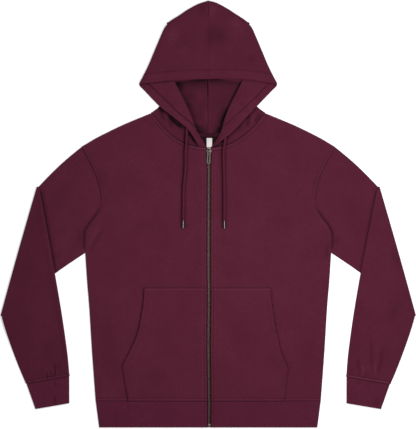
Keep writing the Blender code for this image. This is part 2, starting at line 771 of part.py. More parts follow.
def make_drawstring():
    for name, route in CORD_ROUTE.items():
        path = along(route, even(CORD_POINTS - 1))
        data = bpy.data.curves.new(f"drawstring_{name}", "CURVE")
        data.dimensions = "3D"
        data.bevel_depth = CORD_DIAMETER / 2 * MM
        data.bevel_resolution = 2
        data.use_fill_caps = True
        spline = data.splines.new("POLY")
        spline.points.add(len(path) - 1)
        heights = [cord_height(p) for p in path]
        for point, p, z in zip(spline.points, path, heights):
            point.co = (p.x * MM, p.y * MM, z * MM, 1)
        add_object(f"drawstring_{name}", data, "cord")
        end, before = path[-1], path[-2]
        run = (end - before).normalized()
        mesh = rod_mesh(f"aglet_{name}", AGLET_DIAMETER / 2, AGLET_LENGTH, 14)
        aglet = add_object(f"aglet_{name}", mesh, "aglet_metal")
        middle = end + run * (AGLET_LENGTH / 2 + GAP)
        aglet.location = Vector((middle.x, middle.y, heights[-1])) * MM
        aglet.rotation_euler = (math.pi / 2, 0, math.atan2(run.y, run.x) + math.pi / 2)


def clear_scene():
    for item in list(bpy.data.objects):
        bpy.data.objects.remove(item)
    for name in ("zip_up_hoodie", "cutters"):
        bpy.context.scene.collection.children.link(bpy.data.collections.new(name))


def main():
    clear_scene()
    make_body()
    make_hem_band()
    make_sleeves()
    make_cuffs()
    make_hood()
    make_neck_trim()
    make_pockets()
    make_zip()
    make_pull_tab(make_slider())
    make_drawstring()


main()
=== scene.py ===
# Zip up hoodie in burgundy garment-dyed fleece, laid flat on its back, sleeves folded over at the elbow.
# Tables are in millimetres, +X to the viewer's right, +Y to the hood, +Z up from the floor.
# The tables of the cut give the +X piece and the other side mirrors it. Creases give both sides.
import math

import bpy
import numpy as np
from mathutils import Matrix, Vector
from mathutils.bvhtree import BVHTree


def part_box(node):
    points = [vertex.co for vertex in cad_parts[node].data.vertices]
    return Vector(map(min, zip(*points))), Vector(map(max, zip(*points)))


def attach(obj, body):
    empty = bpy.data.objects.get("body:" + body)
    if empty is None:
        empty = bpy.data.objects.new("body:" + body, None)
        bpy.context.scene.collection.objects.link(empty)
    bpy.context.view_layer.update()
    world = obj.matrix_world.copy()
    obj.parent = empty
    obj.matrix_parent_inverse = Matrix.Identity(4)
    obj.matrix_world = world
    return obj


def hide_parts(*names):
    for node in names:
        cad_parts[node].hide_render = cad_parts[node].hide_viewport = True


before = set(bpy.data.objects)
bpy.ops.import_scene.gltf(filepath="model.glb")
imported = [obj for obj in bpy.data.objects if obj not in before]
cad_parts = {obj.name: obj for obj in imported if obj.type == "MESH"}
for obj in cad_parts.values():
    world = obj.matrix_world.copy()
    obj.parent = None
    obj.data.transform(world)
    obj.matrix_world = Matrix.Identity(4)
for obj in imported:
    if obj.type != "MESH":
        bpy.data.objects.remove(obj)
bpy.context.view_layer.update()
bpy.ops.object.select_all(action="DESELECT")

mm = 0.001
cloth = {
    "wall": 1.8,
    "bandWall": 2.2,
    "tapeWall": 0.6,
    "labelWall": 0.5,
    "layer": 2.1,  # one wall and the air to the next
    "fine": 1.1,  # grid cell beside a seam
    "coarse": 3.0,  # grid cell in the middle of a panel
    "foldSteps": 5,
    "roundEdge": 0.55,
}
levels = [cloth["wall"] / 2 + cloth["layer"] * k for k in range(4)]
foldInset = cloth["layer"] / 2 + cloth["wall"] / 2  # how far a layer's edge lies inside its round fold


# camera, light and floor

view = {
    "distance": 5.0,
    "middle": (-0.0005, -0.0010),
    "height": 0.9438,  # metres from the frame's top to its bottom
    "sensor": 24.0,
}
studio = {
    "lamps": {  # place, size and power
        "keyLight": ((0.22, -0.06, 1.05), 0.5, 7.2),
        "fillLight": ((0.5, 0.6, 2.1), 1.6, 10.0),
    },
    "worldStrength": 0.22,
    "floorSize": 9.0,
    "floorColour": "FFFFFF",
    "floorGlow": 0.42,  # a light table, so the floor stays white behind the cloth
}


def hexColour(text):
    channels = [int(text[i : i + 2], 16) / 255 for i in (0, 2, 4)]
    return (*[c / 12.92 if c <= 0.04045 else ((c + 0.055) / 1.055) ** 2.4 for c in channels], 1)


def setNode(tree, node, settings):
    # a node among the settings links its first output, a socket links itself, the rest are values
    for name, value in settings.items():
        if isinstance(value, bpy.types.Node):
            value = value.outputs[0]
        if isinstance(value, bpy.types.NodeSocket):
            tree.links.new(value, node.inputs[name])
        elif isinstance(name, int) or name in node.inputs:
            node.inputs[name].default_value = value
        else:
            setattr(node, name, value)
    return node


def addNode(tree, kind, settings):
    return setNode(tree, tree.nodes.new(f"ShaderNode{kind}"), settings)


def addLight(name, place, size, power):
    bpy.ops.object.light_add(type="AREA", location=place)
    lamp = bpy.context.object
    lamp.name = name
    lamp.data.size = size
    lamp.data.energy = power
    lamp.rotation_euler = Vector(place).to_track_quat("Z", "Y").to_euler()


def makeStudio():
    scene = bpy.context.scene
    scene.view_settings.view_transform = "Standard"
    bpy.ops.object.camera_add(location=(*view["middle"], view["distance"]), rotation=(0, 0, 0))
    scene.camera = bpy.context.object
    lens = scene.camera.data
    lens.sensor_fit = "VERTICAL"
    lens.sensor_height = view["sensor"]
    lens.lens = view["sensor"] * view["distance"] / view["height"]
    lens.clip_end = 30
    for name, row in studio["lamps"].items():
        addLight(name, *row)
    scene.world = bpy.data.worlds.new("studioWorld")
    scene.world.use_nodes = True
    tree = scene.world.node_tree
    setNode(tree, tree.nodes["Background"], {"Color": (1, 1, 1, 1), "Strength": studio["worldStrength"]})

    bpy.ops.mesh.primitive_plane_add(size=studio["floorSize"], location=(0, 0, -0.0004))
    floor = bpy.context.object
    floor.name = "studioFloor"
    paint, tree, shader = startMaterial("whiteFloorPaint")
    setNode(tree, shader, {
        "Base Color": hexColour(studio["floorColour"]), "Roughness": 0.8,
        "Emission Color": (1, 1, 1, 1), "Emission Strength": studio["floorGlow"],
    })
    floor.data.materials.append(paint)
    print("camera, lights and floor are in")


# curves and grids

def ease(t):
    t = np.clip(t, 0, 1)
    return t * t * (3 - 2 * t)


def bell(distance, width):
    return np.exp(-((distance / width) ** 2))


def fadeEnds(t, first, last=None):
    # 0 at both ends of a share and 1 between them
    return ease(t / first) * ease((1 - t) / (last or first))


def mix(a, b, t):
    return a + (b - a) * t


def curveAt(table, shares):
    # points at these shares of the length of a smooth curve through the table
    points = np.array(table, float)
    steps = np.linalg.norm(np.diff(points, axis=0), axis=1)
    at = np.concatenate([[0], np.cumsum(steps)])
    low = np.maximum(np.arange(len(points)) - 1, 0)
    high = np.minimum(np.arange(len(points)) + 1, len(points) - 1)
    tangents = (points[high] - points[low]) / (at[high] - at[low])[:, None]
    along = np.asarray(shares, float) * at[-1]
    i = np.clip(np.searchsorted(at, along + 1e-9, side="right") - 1, 0, len(steps) - 1)
    u = ((along - at[i]) / steps[i])[:, None]
    span = steps[i][:, None]
    return (
        points[i] * (2 * u**3 - 3 * u**2 + 1)
        + tangents[i] * span * (u**3 - 2 * u**2 + u)
        + points[i + 1] * (3 * u**2 - 2 * u**3)
        + tangents[i + 1] * span * (u**3 - u**2)
    )


def straight(start, end, shares):
    return mix(np.array(start, float), np.array(end, float), np.asarray(shares)[:, None])


def lengthShares(points):
    at = np.concatenate([[0], np.cumsum(np.linalg.norm(np.diff(points, axis=0), axis=1))])
    return at / at[-1]


def smoothed(values, span):
    return np.convolve(np.pad(values, span // 2, mode="edge"), np.ones(span) / span, mode="valid")


def fillPatch(top, right, bottom, left):
    # a net of points between four edges: top and bottom run across, left and right run down
    wide = bottom if np.linalg.norm(bottom[-1] - bottom[0]) > np.linalg.norm(top[-1] - top[0]) else top
    c = lengthShares(wide)[None, :, None]
    r = lengthShares(left)[:, None, None]
    sides = mix(left[:, None], right[:, None], c)
    ends = mix(top[None], bottom[None], r)
    corners = mix(mix(top[0], top[-1], c), mix(bottom[0], bottom[-1], c), r)
    return sides + ends - corners


def gradedShares(length, fineStart, fineEnd, coarse=cloth["coarse"]):
    # shares of a length: fine cells over its first and last millimetres, coarse ones between
    fine = cloth["fine"]
    marks = [0.0]
    for span, cell in ((fineStart, fine), (length - fineStart - fineEnd, coarse), (fineEnd, fine)):
        if span > 0:
            count = max(1, round(span / cell))
            marks += [marks[-1] + span * (k + 1) / count for k in range(count)]
    return np.array(marks) / marks[-1]


def roundFold(edgeA, edgeB, outward):
    # half circles from edge A to edge B that stand out to one side
    centre, half = (edgeA + edgeB) / 2, (edgeA - edgeB) / 2
    reach = np.linalg.norm(half, axis=-1, keepdims=True)
    flat = np.concatenate([outward[..., :2], np.zeros_like(outward[..., :1])], axis=-1)
    side = flat / np.linalg.norm(flat, axis=-1, keepdims=True) * reach
    turns = [math.pi * k / cloth["foldSteps"] for k in range(1, cloth["foldSteps"])]
    return np.stack([centre + half * math.cos(t) + side * math.sin(t) for t in turns], axis=1)


def atHeight(flat, z):
    return np.concatenate([flat[..., :2], np.broadcast_to(z, flat.shape[:-1])[..., None]], axis=-1)


# creases, seams and the cloth's own unevenness, as a height and a tone at each point; the tone is painted
# shade and painted highlight

def nearLine(path, x, y):
    # how far each point is from a line, which side of it (left is +), and its share of the length
    line = np.array(path, float)
    if 2 < len(line) < 24:
        line = curveAt(line, np.linspace(0, 1, 4 * len(line)))
    steps = np.linalg.norm(np.diff(line, axis=0), axis=1)
    starts = np.concatenate([[0], np.cumsum(steps)])
    best = np.full(x.shape, 1e9)
    signed = np.zeros(x.shape)
    share = np.zeros(x.shape)
    for a, b, begin, span in zip(line, line[1:], starts, steps):
        run = (b - a) / span
        t = np.clip((x - a[0]) * run[0] + (y - a[1]) * run[1], 0, span)
        dx, dy = x - a[0] - t * run[0], y - a[1] - t * run[1]
        away = np.hypot(dx, dy)
        closer = away < best
        side = np.where(run[0] * dy - run[1] * dx >= 0, 1, -1)
        best = np.where(closer, away, best)
        signed = np.where(closer, side * away, signed)
        share = np.where(closer, (begin + t) / starts[-1], share)
    return signed, share, starts[-1]


def ripple(at, wave):
    # an uneven wave of about this length, from -1 to 1, that never quite repeats
    turn = 2 * math.pi * at / wave
    return (np.sin(turn) + 0.7 * np.sin(turn * 0.61 + 1.3) + 0.5 * np.sin(turn * 1.73 + 4.1)) / 2.2


def crease(height, width, *path, tone=None, fade=0.35, skew=1.0):
    # a trough or a ridge along a path; skew widens its left side. Unless given, its tone paints shade in a
    # trough and highlight on a ridge
    tone = 0.14 * height if tone is None else tone
    return dict(height=height, width=width, path=path, tone=tone, fade=fade, skew=skew)


def creaseRelief(rows, x, y):
    height, tone = np.zeros(x.shape), np.zeros(x.shape)
    for row in rows:
        distance, share, _ = nearLine(row["path"], x, y)
        width = np.where(distance > 0, row["width"] * row["skew"], row["width"])
        shape = bell(distance, width) * fadeEnds(share, row["fade"])
        height += row["height"] * shape
        tone += row["tone"] * shape
    return height, tone


def shadeAlong(path, width, tone):
    # painted shade beside a fold
    return crease(0, width, *path, tone=tone, fade=0.02)


def seamRelief(seams, x, y):
    # band: the allowance between two distances. lines: rubbed ridges and stitched grooves, whose tones paint
    # highlight on ridges and shade in grooves.
    # edge: how far the cloth rolls down at the seam, with painted shade there. Heights pucker along the seam.
    height, tone = np.zeros(x.shape), np.zeros(x.shape)
    for seam in seams:
        signed, share, length = nearLine(seam["path"], x, y)
        d = signed * seam["side"]
        run = share * length
        inside = (d > -3) * ease(run / 0.5) * ease((length - run) / seam.get("fade", 0.5))
        pucker = 1 + seam.get("pucker", 0.35) * ripple(run, seam.get("wave", 8.0))
        near, far, rise, shade = seam.get("band", (0, 1, 0, 0))
        soft = seam.get("soft", 1.6)
        band = ease((d - near) / soft + 0.5) * ease((far - d) / soft + 0.5) * inside
        height += rise * band * pucker
        tone += shade * band
        for at, width, rise, shade in seam.get("lines", []):
            line = bell(d - at, width) * inside
            height += rise * line * pucker
            tone += shade * line * (0.6 + 0.4 * pucker)
        depth, width, shade = seam.get("edge", (0, 1, 0))
        edge = np.exp(-np.clip(d, 0, None) / width) * inside
        height -= depth * edge
        tone += shade * edge
    return height, tone


def unevenness(x, y, size):
    # the gentle hills of cloth that was smoothed by hand
    waves = [(121, 0.3, 0.0), (87, 1.4, 2.1), (64, 2.5, 0.7), (150, 2.0, 4.0), (46, 0.9, 1.7), (39, 2.9, 3.3)]
    total = np.zeros(x.shape)
    for wave, turn, start in waves:
        total += np.sin(2 * math.pi * (x * math.cos(turn) + y * math.sin(turn)) / wave + start) * wave / 150
    return total * size


def relief(creases, seams, x, y, hills):
    # height and tone of the cloth itself, then height and tone of its seams
    height, tone = creaseRelief(creases, x, y)
    return (height + unevenness(x, y, hills), tone, *seamRelief(seams, x, y))


# making a piece

def activate(piece):
    bpy.ops.object.select_all(action="DESELECT")
    piece.select_set(True)
    bpy.context.view_layer.objects.active = piece


def editMesh(piece, steps):
    activate(piece)
    bpy.ops.object.mode_set(mode="EDIT")
    bpy.ops.mesh.select_all(action="SELECT")
    steps()
    bpy.ops.object.mode_set(mode="OBJECT")


def pointsOf(mesh):
    points = np.empty(len(mesh.vertices) * 3, np.float32)
    mesh.vertices.foreach_get("co", points)
    return points.reshape(-1, 3)


def clothGrid(name, net, tone):
    # a grid primitive laid on a net of points, with its cut in millimetres as UV
    rows, columns = net.shape[:2]
    bpy.ops.mesh.primitive_grid_add(x_subdivisions=columns - 1, y_subdivisions=rows - 1, size=2)
    piece = bpy.context.object
    piece.name = name
    mesh = piece.data
    flat = pointsOf(mesh)
    i = np.rint((flat[:, 0] + 1) / 2 * (columns - 1)).astype(int)
    j = np.rint((1 - flat[:, 1]) / 2 * (rows - 1)).astype(int)
    mesh.vertices.foreach_set("co", (net[j, i] * mm).astype(np.float32).ravel())
    tones = mesh.attributes.new("tone", "FLOAT", "POINT")
    tones.data.foreach_set("value", (tone + np.zeros(net.shape[:2]))[j, i].astype(np.float32))
    across = np.cumsum(np.linalg.norm(np.diff(net, axis=1, prepend=net[:, :1]), axis=2), axis=1)
    down = np.cumsum(np.linalg.norm(np.diff(net, axis=0, prepend=net[:1]), axis=2), axis=0)
    corner = np.empty(len(mesh.loops), int)
    mesh.loops.foreach_get("vertex_index", corner)
    cut = np.stack([across[j, i], -down[j, i]], axis=1)[corner]
    mesh.uv_layers[0].name = "cut"
    mesh.uv_layers[0].data.foreach_set("uv", cut.astype(np.float32).ravel())
    return piece


def joinPieces(name, pieces, merge=None):
    activate(pieces[0])
    for piece in pieces:
        piece.select_set(True)
    if len(pieces) > 1:
        bpy.ops.object.join()
    piece = bpy.context.object
    piece.name = piece.data.name = name
    if merge:
        editMesh(piece, lambda: bpy.ops.mesh.remove_doubles(threshold=merge * mm))
    return piece


def applyModifier(piece, kind, settings):
    activate(piece)
    modifier = piece.modifiers.new(kind.lower(), kind)
    for name, value in settings.items():
        setattr(modifier, name, value)
    bpy.ops.object.modifier_apply(modifier=modifier.name)


def roundEdges(piece, width, segments, angle=30):
    applyModifier(piece, "BEVEL", {
        "width": width * mm, "segments": segments,
        "limit_method": "ANGLE", "angle_limit": math.radians(angle),
    })


def smoothByAngle(piece, angle=35):
    activate(piece)
    bpy.ops.object.shade_smooth_by_angle(angle=math.radians(angle))


def turnOutward(piece, facesUp=None):
    editMesh(piece, lambda: bpy.ops.mesh.normals_make_consistent(inside=False))
    if facesUp is not None:
        mean = np.mean([p.normal.z * p.area for p in piece.data.polygons])
        if (mean < 0) == facesUp:
            piece.data.flip_normals()


def dress(piece, material, node=None, body="garment"):
    # the finish and body of a piece, and the solid that it replaces
    if material:
        piece.data.materials.clear()
        piece.data.materials.append(material)
    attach(piece, body)
    if node:
        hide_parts(node)
    return piece


def makeCloth(name, node, slot, *grids, facesUp=None, merge=None):
    # joins grids of points and tones, gives them a wall and round edges, and takes a solid's place
    piece = joinPieces(name, [clothGrid(name, *grid) for grid in grids], merge)
    turnOutward(piece, facesUp)
    material, wall, rounded = clothKinds[slot]
    applyModifier(piece, "SOLIDIFY", {"thickness": wall * mm, "offset": 0, "use_quality_normals": True})
    if rounded:
        roundEdges(piece, cloth["roundEdge"], 2, 60)
    for vertex in piece.data.vertices:
        vertex.co.z = max(vertex.co.z, 0)  # nothing sinks into the ground
    bpy.ops.object.shade_smooth()
    return dress(piece, material, node)


# materials

def startMaterial(name):
    material = bpy.data.materials.new(name)
    material.use_nodes = True
    return material, material.node_tree, material.node_tree.nodes["Principled BSDF"]


fleeceLook = {
    "colour": "592034",
    "wornAndHighlight": "7A3D52",  # rubbed-off colour at seam edges, and painted highlight on ridges
    "darkMottleAndShade": "170710",  # darker mottling, and painted shade in grooves, under folds and beside cords
    "patches": {  # size in millimetres, detail, roughness and amount
        "clouds": (70.0, 3, 0.5, 0.28),
        "blotches": (14.0, 4, 0.6, 0.2),
        "yarn": (1.8, 2, 0.5, 0.64),
    },
    "wale": 1.3,  # stitch columns of the jersey face
    "course": 1.0,
    "bump": 0.25,
}


def knitFleece(name, look):
    # cotton fleece, knitted and then dyed as a garment: matt, softly brushed, a little cloudy
    material, tree, shader = startMaterial(name)
    place = addNode(tree, "TexCoord", {}).outputs["Object"]
    cut = addNode(tree, "UVMap", {"uv_map": "cut"})

    # clouds of colour, blotches and single yarns, round the tone that the cloth's points hold, which paints
    # shade below zero and highlight and rubbed seam edges above
    paintedLightAndMottling = addNode(tree, "Attribute", {"attribute_name": "tone"}).outputs["Fac"]
    for size, detail, rough, amount in look["patches"].values():
        noise = addNode(
            tree, "TexNoise", {"Scale": 1000 / size, "Detail": detail, "Roughness": rough, "Vector": place})
        paintedLightAndMottling = addNode(tree, "Math", {"operation": "MULTIPLY_ADD", 0: noise, 1: amount, 2: paintedLightAndMottling})
    middle = 0.5 - sum(row[3] for row in look["patches"].values()) / 4
    share = addNode(tree, "Math", {"operation": "MULTIPLY_ADD", 0: paintedLightAndMottling, 1: 0.5, 2: middle})
    ramp = addNode(tree, "ValToRGB", {"Fac": share})
    ramp.color_ramp.elements.new(0.5)
    for stop, key in zip(ramp.color_ramp.elements, ("darkMottleAndShade", "colour", "wornAndHighlight")):
        stop.color = hexColour(look[key])

    # the V of each knitted loop: courses that zigzag from wale to wale, under a fuzz of fibres
    split = addNode(tree, "SeparateXYZ", {"Vector": cut})
    wales = addNode(tree, "Math", {"operation": "DIVIDE", 0: split.outputs["X"], 1: look["wale"]})
    within = addNode(tree, "Math", {"operation": "FRACT", 0: wales})
    offset = addNode(tree, "Math", {"operation": "SUBTRACT", 0: within, 1: 0.5})
    leg = addNode(tree, "Math", {"operation": "ABSOLUTE", 0: offset})
    courses = addNode(tree, "Math", {"operation": "DIVIDE", 0: split.outputs["Y"], 1: look["course"]})
    zigzag = addNode(tree, "Math", {"operation": "ADD", 0: courses, 1: leg})
    waves = []
    for source in (zigzag, leg):
        turn = addNode(tree, "Math", {"operation": "MULTIPLY", 0: source, 1: 2 * math.pi})
        waves.append(addNode(tree, "Math", {"operation": "SINE", 0: turn}))
    knit = addNode(tree, "Math", {"operation": "MULTIPLY_ADD", 0: waves[0], 1: 0.35, 2: waves[1]})
    fuzz = addNode(tree, "TexNoise", {"Scale": 1000 / 0.7, "Detail": 2, "Roughness": 0.5, "Vector": place})
    height = addNode(tree, "Math", {"operation": "MULTIPLY_ADD", 0: fuzz, 1: 1.5, 2: knit})
    bump = addNode(tree, "Bump", {"Strength": look["bump"], "Distance": 0.3 * mm, "Height": height})
    setNode(tree, shader, {
        "Base Color": ramp, "Roughness": 0.95, "Specular IOR Level": 0.1, "Normal": bump,
        "Sheen Weight": 0.03, "Sheen Roughness": 0.5,  # the brushed nap
    })
    return material


def plainMaterial(name, colour, roughness, metallic=0.0, grain=None, shine=0.5):
    # grain: its size, its dark and light colour and its depth as bump
    material, tree, shader = startMaterial(name)
    setNode(tree, shader, {
        "Base Color": hexColour(colour), "Roughness": roughness, "Metallic": metallic,
        "Specular IOR Level": shine,
    })
    if grain:
        size, low, high, depth = grain
        place = addNode(tree, "TexCoord", {}).outputs["Object"]
        noise = addNode(tree, "TexNoise", {"Scale": 1000 / size, "Detail": 3.0, "Vector": place})
        ramp = addNode(tree, "ValToRGB", {"Fac": noise})
        for stop, position, shade in zip(ramp.color_ramp.elements, (0.3, 0.7), (low, high)):
            stop.position, stop.color = position, hexColour(shade)
        bump = addNode(tree, "Bump", {"Strength": depth, "Distance": 0.1 * mm, "Height": noise})
        setNode(tree, shader, {"Base Color": ramp, "Normal": bump})
    return material


fleece = knitFleece("burgundyCottonFleece", fleeceLook)
ribKnit = knitFleece(
    "burgundyCottonRib", {**fleeceLook, "colour": "5B2036", "wale": 2.0, "course": 1.1, "bump": 0.35})
# cotton-wrapped polyester thread, dyed with the garment and so a touch lighter and shinier
thread = plainMaterial("burgundySewingThread", "5B2036", 0.8, shine=0.15)
# twill tape of the zip and the neck, woven tight and smoother than the knit; its colour is darkened below the
# knit's as painted shade, since the tapes lie in shadow
twill = plainMaterial("burgundyTwillTape", "37121F", 0.85, 0.0, (0.9, "2F0F1A", "3F1524", 0.4), 0.1)
# soft braided cotton cord
braid = plainMaterial("burgundyBraidedCotton", "571F33", 0.95, 0.0, (1.1, "4E182D", "602439", 0.5), 0.1)
# woven satin ribbon, left blank
satin = plainMaterial("whiteSatinRibbon", "E6E3DE", 0.5, 0.0, (0.6, "DEDAD4", "EDEAE5", 0.2))
# brass, oxidised grey-brown and then rubbed: dull with brighter high spots
antiqueBrass = plainMaterial("antiqueGreyBrass", "645C55", 0.45, 1.0, (1.5, "534C46", "756C65", 0.15))
# the same brass on the teeth, where the dark oxide stays between them, and on the pull tab
toothBrass = plainMaterial("antiqueToothBrass", "6B5E58", 0.5, 1.0, (1.5, "5D514B", "7A6C65", 0.1))
rubbedBrass = plainMaterial("rubbedGreyBrass", "4A4540", 0.45, 1.0, (1.5, "3F3A36", "57514C", 0.15))
oxideBrass = plainMaterial("oxidisedBrass", "28231F", 0.6, 1.0)
# nickel-plated steel, tumbled: grey, and no mirror
nickel = plainMaterial("satinNickel", "66625F", 0.4, 1.0, (2.5, "5A5653", "726F6C", 0.05))
clothKinds = {  # finish, wall and whether the cut edges are rounded
    "fleece": (fleece, cloth["wall"], True),
    "rib": (ribKnit, cloth["bandWall"], True),
    "tape": (twill, cloth["tapeWall"], False),
    "label": (satin, cloth["labelWall"], False),
}


# the cut

cut = {
    "neckFrontY": 143.3,
    "neckLines": {"Left": (4.9, 0.22, -0.5), "Right": (7.2, 0.1, -0.35)},  # groove, then the painted highlight of the ridge and the painted shade of the groove
    "hemSeamY": -411.4,
    "hemY": -469.0,
    "hemTone": -0.07,
    "hemTaper": 7.5,
    "zipEdge": 5.0,
    "opening": 4.0,  # half of what shows between the fronts
    "slackAtTab": 1.0,  # and how much more beside the pull tab
    "zipLine": {  # where the middle of the zip lies, from the hem up
        "y": [-480, -446, -420, -394, -367, -341, -315, -288, -235,
              -209, -183, -156, -130, -103, -50, 29, 95, 130],
        "x": [1.9, 2.0, 2.4, 2.0, 1.7, 1.35, 0.92, 0.77, 1.15,
              1.5, 1.85, 1.75, 1.1, 0.85, 1.1, 1.35, 1.7, 1.2],
    },
    "brimY": 296.5,
    "gap": 0.3,
    "butt": 0.05,  # where two edges are sewn to each other
    "neckGap": 0.6,
    "neckFront": {
        "Left": [(5.0, 145.0), (30, 148.5), (55, 156), (79, 171.3), (103, 194.5), (125, 222)],
        "Right": [(5.0, 145.0), (25, 148.3), (43, 152.4), (60, 160), (81.8, 175.4), (94.8, 186.6),
                  (105.5, 198), (115, 210.5), (124, 222)],
    },
    "neckBack": [(0, 172), (40, 174.5), (80, 187), (108, 206), (125, 222)],
    "shoulder": [(125, 222), (160, 207.6), (193.6, 193.2), (246.4, 167), (278.3, 147.8)],
    "armhole": [
        (278.3, 147.8), (263, 120), (251.4, 97), (240, 65), (234.3, 35),
        (236.5, 14), (249, -7), (264, -27), (270.4, -42), (270.4, -85.4),
    ],
    "side": [(270.4, -85.4), (266.2, -149.6), (261.8, -202.4), (255.2, -308), (247.5, -411.4)],
    "neckSteps": [0, 0.09, 0.26, 0.44, 0.63, 0.82, 1],
    "shoulderSteps": [0, 0.25, 0.5, 0.75, 1],
    "hemSteps": [0, 0.05, 0.14, 0.24, 0.33, 0.42, 0.5, 0.62, 0.75, 0.88, 1],
    "armholeRows": 9,
    "sideRows": 6,
    "frontPuff": 2.0,
    "tapeRise": 1.3,
    "riseFrom": 34.0,
    "riseLength": 18.0,
}
sides = {"Left": -1, "Right": 1}


def mirrored(path, side):
    return [(side * x, y) for x, y in path]


def smoothRun(table, count=60):
    return [tuple(p) for p in curveAt(table, np.linspace(0, 1, count))]


def sideRun(table, side, count=60):
    return mirrored(smoothRun(table, count), side)


def zipX(y):
    return np.interp(y, cut["zipLine"]["y"], cut["zipLine"]["x"])


def openingAt(y):
    return cut["opening"] + cut["slackAtTab"] * ease((y - 104) / 8)


def alongZip(net, side):
    # the zip wanders a little and the cloth beside it follows
    x, y = net[..., 0], net[..., 1]
    near = (1 - ease((x - cut["zipEdge"]) / 40)) * ease((152 - y) / 9)
    net[..., 0] = x + near * (openingAt(y) - cut["zipEdge"] + side * zipX(y))
    return net


# fronts and back

frontCreases = {
    "Left": [
        crease(-1.5, 5.0, (-266, -92), (-247, -55), (-226, -26), skew=0.6),
        crease(0.9, 5.0, (-262, -66), (-248, -40), (-236, -24)),
        crease(-1.2, 13.0, (-252, 120), (-236, 78), (-226, 34), fade=0.5),
        crease(-0.9, 4.0, (-147, 217), (-137, 198)),
        crease(-0.8, 3.5, (-131, 206), (-122, 189)),
        crease(-0.5, 3.0, (-118, 205), (-112, 192)),
        crease(-0.5, 3.5, (-247, -318), (-224, -350), (-200, -377)),
        crease(-0.6, 17.0, (-222, -200), (-218, -290), (-216, -380), fade=0.5),
        crease(-0.7, 12.0, (-190, -60), (-150, -30), (-100, -22), fade=0.5),
    ],
    "Right": [
        crease(-1.5, 5.0, (264, -58), (261, -82), (258, -108)),
        crease(0.9, 4.0, (244, -8), (256, -26), (265, -40)),
        crease(-0.7, 10.0, (252, 110), (240, 74), (232, 38), fade=0.5),
        crease(-0.6, 4.5, (33, -38), (34, -58), (33, -80)),
        crease(-0.5, 18.0, (226, -210), (220, -300), (214, -380), fade=0.5),
        crease(-0.6, 12.0, (206, -30), (160, -14), (120, -16), fade=0.5),
    ],
}


def frontHeight(x, across=0.0, down=0.0):
    rise = cut["tapeRise"] * ease((cut["riseFrom"] - np.abs(x)) / cut["riseLength"])
    puff = cut["frontPuff"] * np.sin(math.pi * np.clip(across, 0, 1)) * np.sin(math.pi * np.clip(down, 0, 1))
    return levels[1] + rise + puff


def frontHeightAt(x, y):
    across = (np.abs(x) - cut["zipEdge"]) / (cut["side"][-1][0] - cut["zipEdge"])
    down = (cut["neckFrontY"] - y) / (cut["neckFrontY"] - cut["hemSeamY"])
    return frontHeight(x, across, down)


def panelColumns(hemShares, neckTable, neckSteps):
    # points along neckline and shoulder that stand above these shares of the hem
    index = np.interp(hemShares, cut["hemSteps"], range(len(cut["hemSteps"])))
    turn = len(cut["neckSteps"]) - 1
    onNeck = index <= turn
    neck = np.interp(index[onNeck], range(turn + 1), neckSteps)
    shoulder = np.interp(index[~onNeck] - turn, range(len(cut["shoulderSteps"])), cut["shoulderSteps"])
    return np.concatenate([curveAt(neckTable, neck), curveAt(cut["shoulder"], shoulder)])


def panelNet(edge, neckTable, neckSteps, hemShares, coarse):
    # half a body panel, with points down the armhole and the side seam as often as its rows need
    total = cut["armholeRows"] + cut["sideRows"]
    rows = gradedShares(cut["neckFrontY"] - cut["hemSeamY"], 14, 12, coarse) * total
    rows[np.argmin(np.abs(rows - cut["armholeRows"]))] = cut["armholeRows"]
    onArm = rows <= cut["armholeRows"]
    arm = curveAt(cut["armhole"], rows[onArm] / cut["armholeRows"])
    side = curveAt(cut["side"], (rows[~onArm] - cut["armholeRows"]) / cut["sideRows"])
    top = panelColumns(hemShares, neckTable, neckSteps)
    corner = (edge, cut["hemSeamY"])
    bottom = straight(corner, cut["side"][-1], hemShares)
    net = fillPatch(top, np.concatenate([arm, side]), bottom, straight(neckTable[0], corner, rows / total))
    return net, rows / total


def zipSeam(side, top, bottom, groove=-0.3):
    # the edge turned under beside the teeth, with one line of stitches that pulls it in. Its tones paint shade
    # at the edge and in the groove, and highlight on the ridges
    path = [(side * openingAt(y) + zipX(y), y) for y in np.linspace(top, bottom, 24)]
    return dict(path=path, side=side, edge=(1.2, 1.9, -1.0), wave=11.0, stitches=[5.9],
                lines=[(3.0, 1.3, 0.35, 0.42), (5.9, 1.1, -0.4, groove), (9.3, 1.2, 0.2, 0.14)])


def hemSeam(side):
    # the allowance of the hem seam is turned up and held by one line of stitches; its tones paint shade at the
    # seam and in the groove, and highlight on the ridge
    y, reach = cut["hemSeamY"], 260
    return dict(path=[(0, y), (side * reach, y)], side=side, band=(0.4, 6.0, 0.5, 0.0), edge=(0.6, 1.0, -0.4),
                lines=[(3.4, 1.3, 0.2, 0.15), (6.6, 1.0, -0.4, -0.33)], stitches=[6.6])


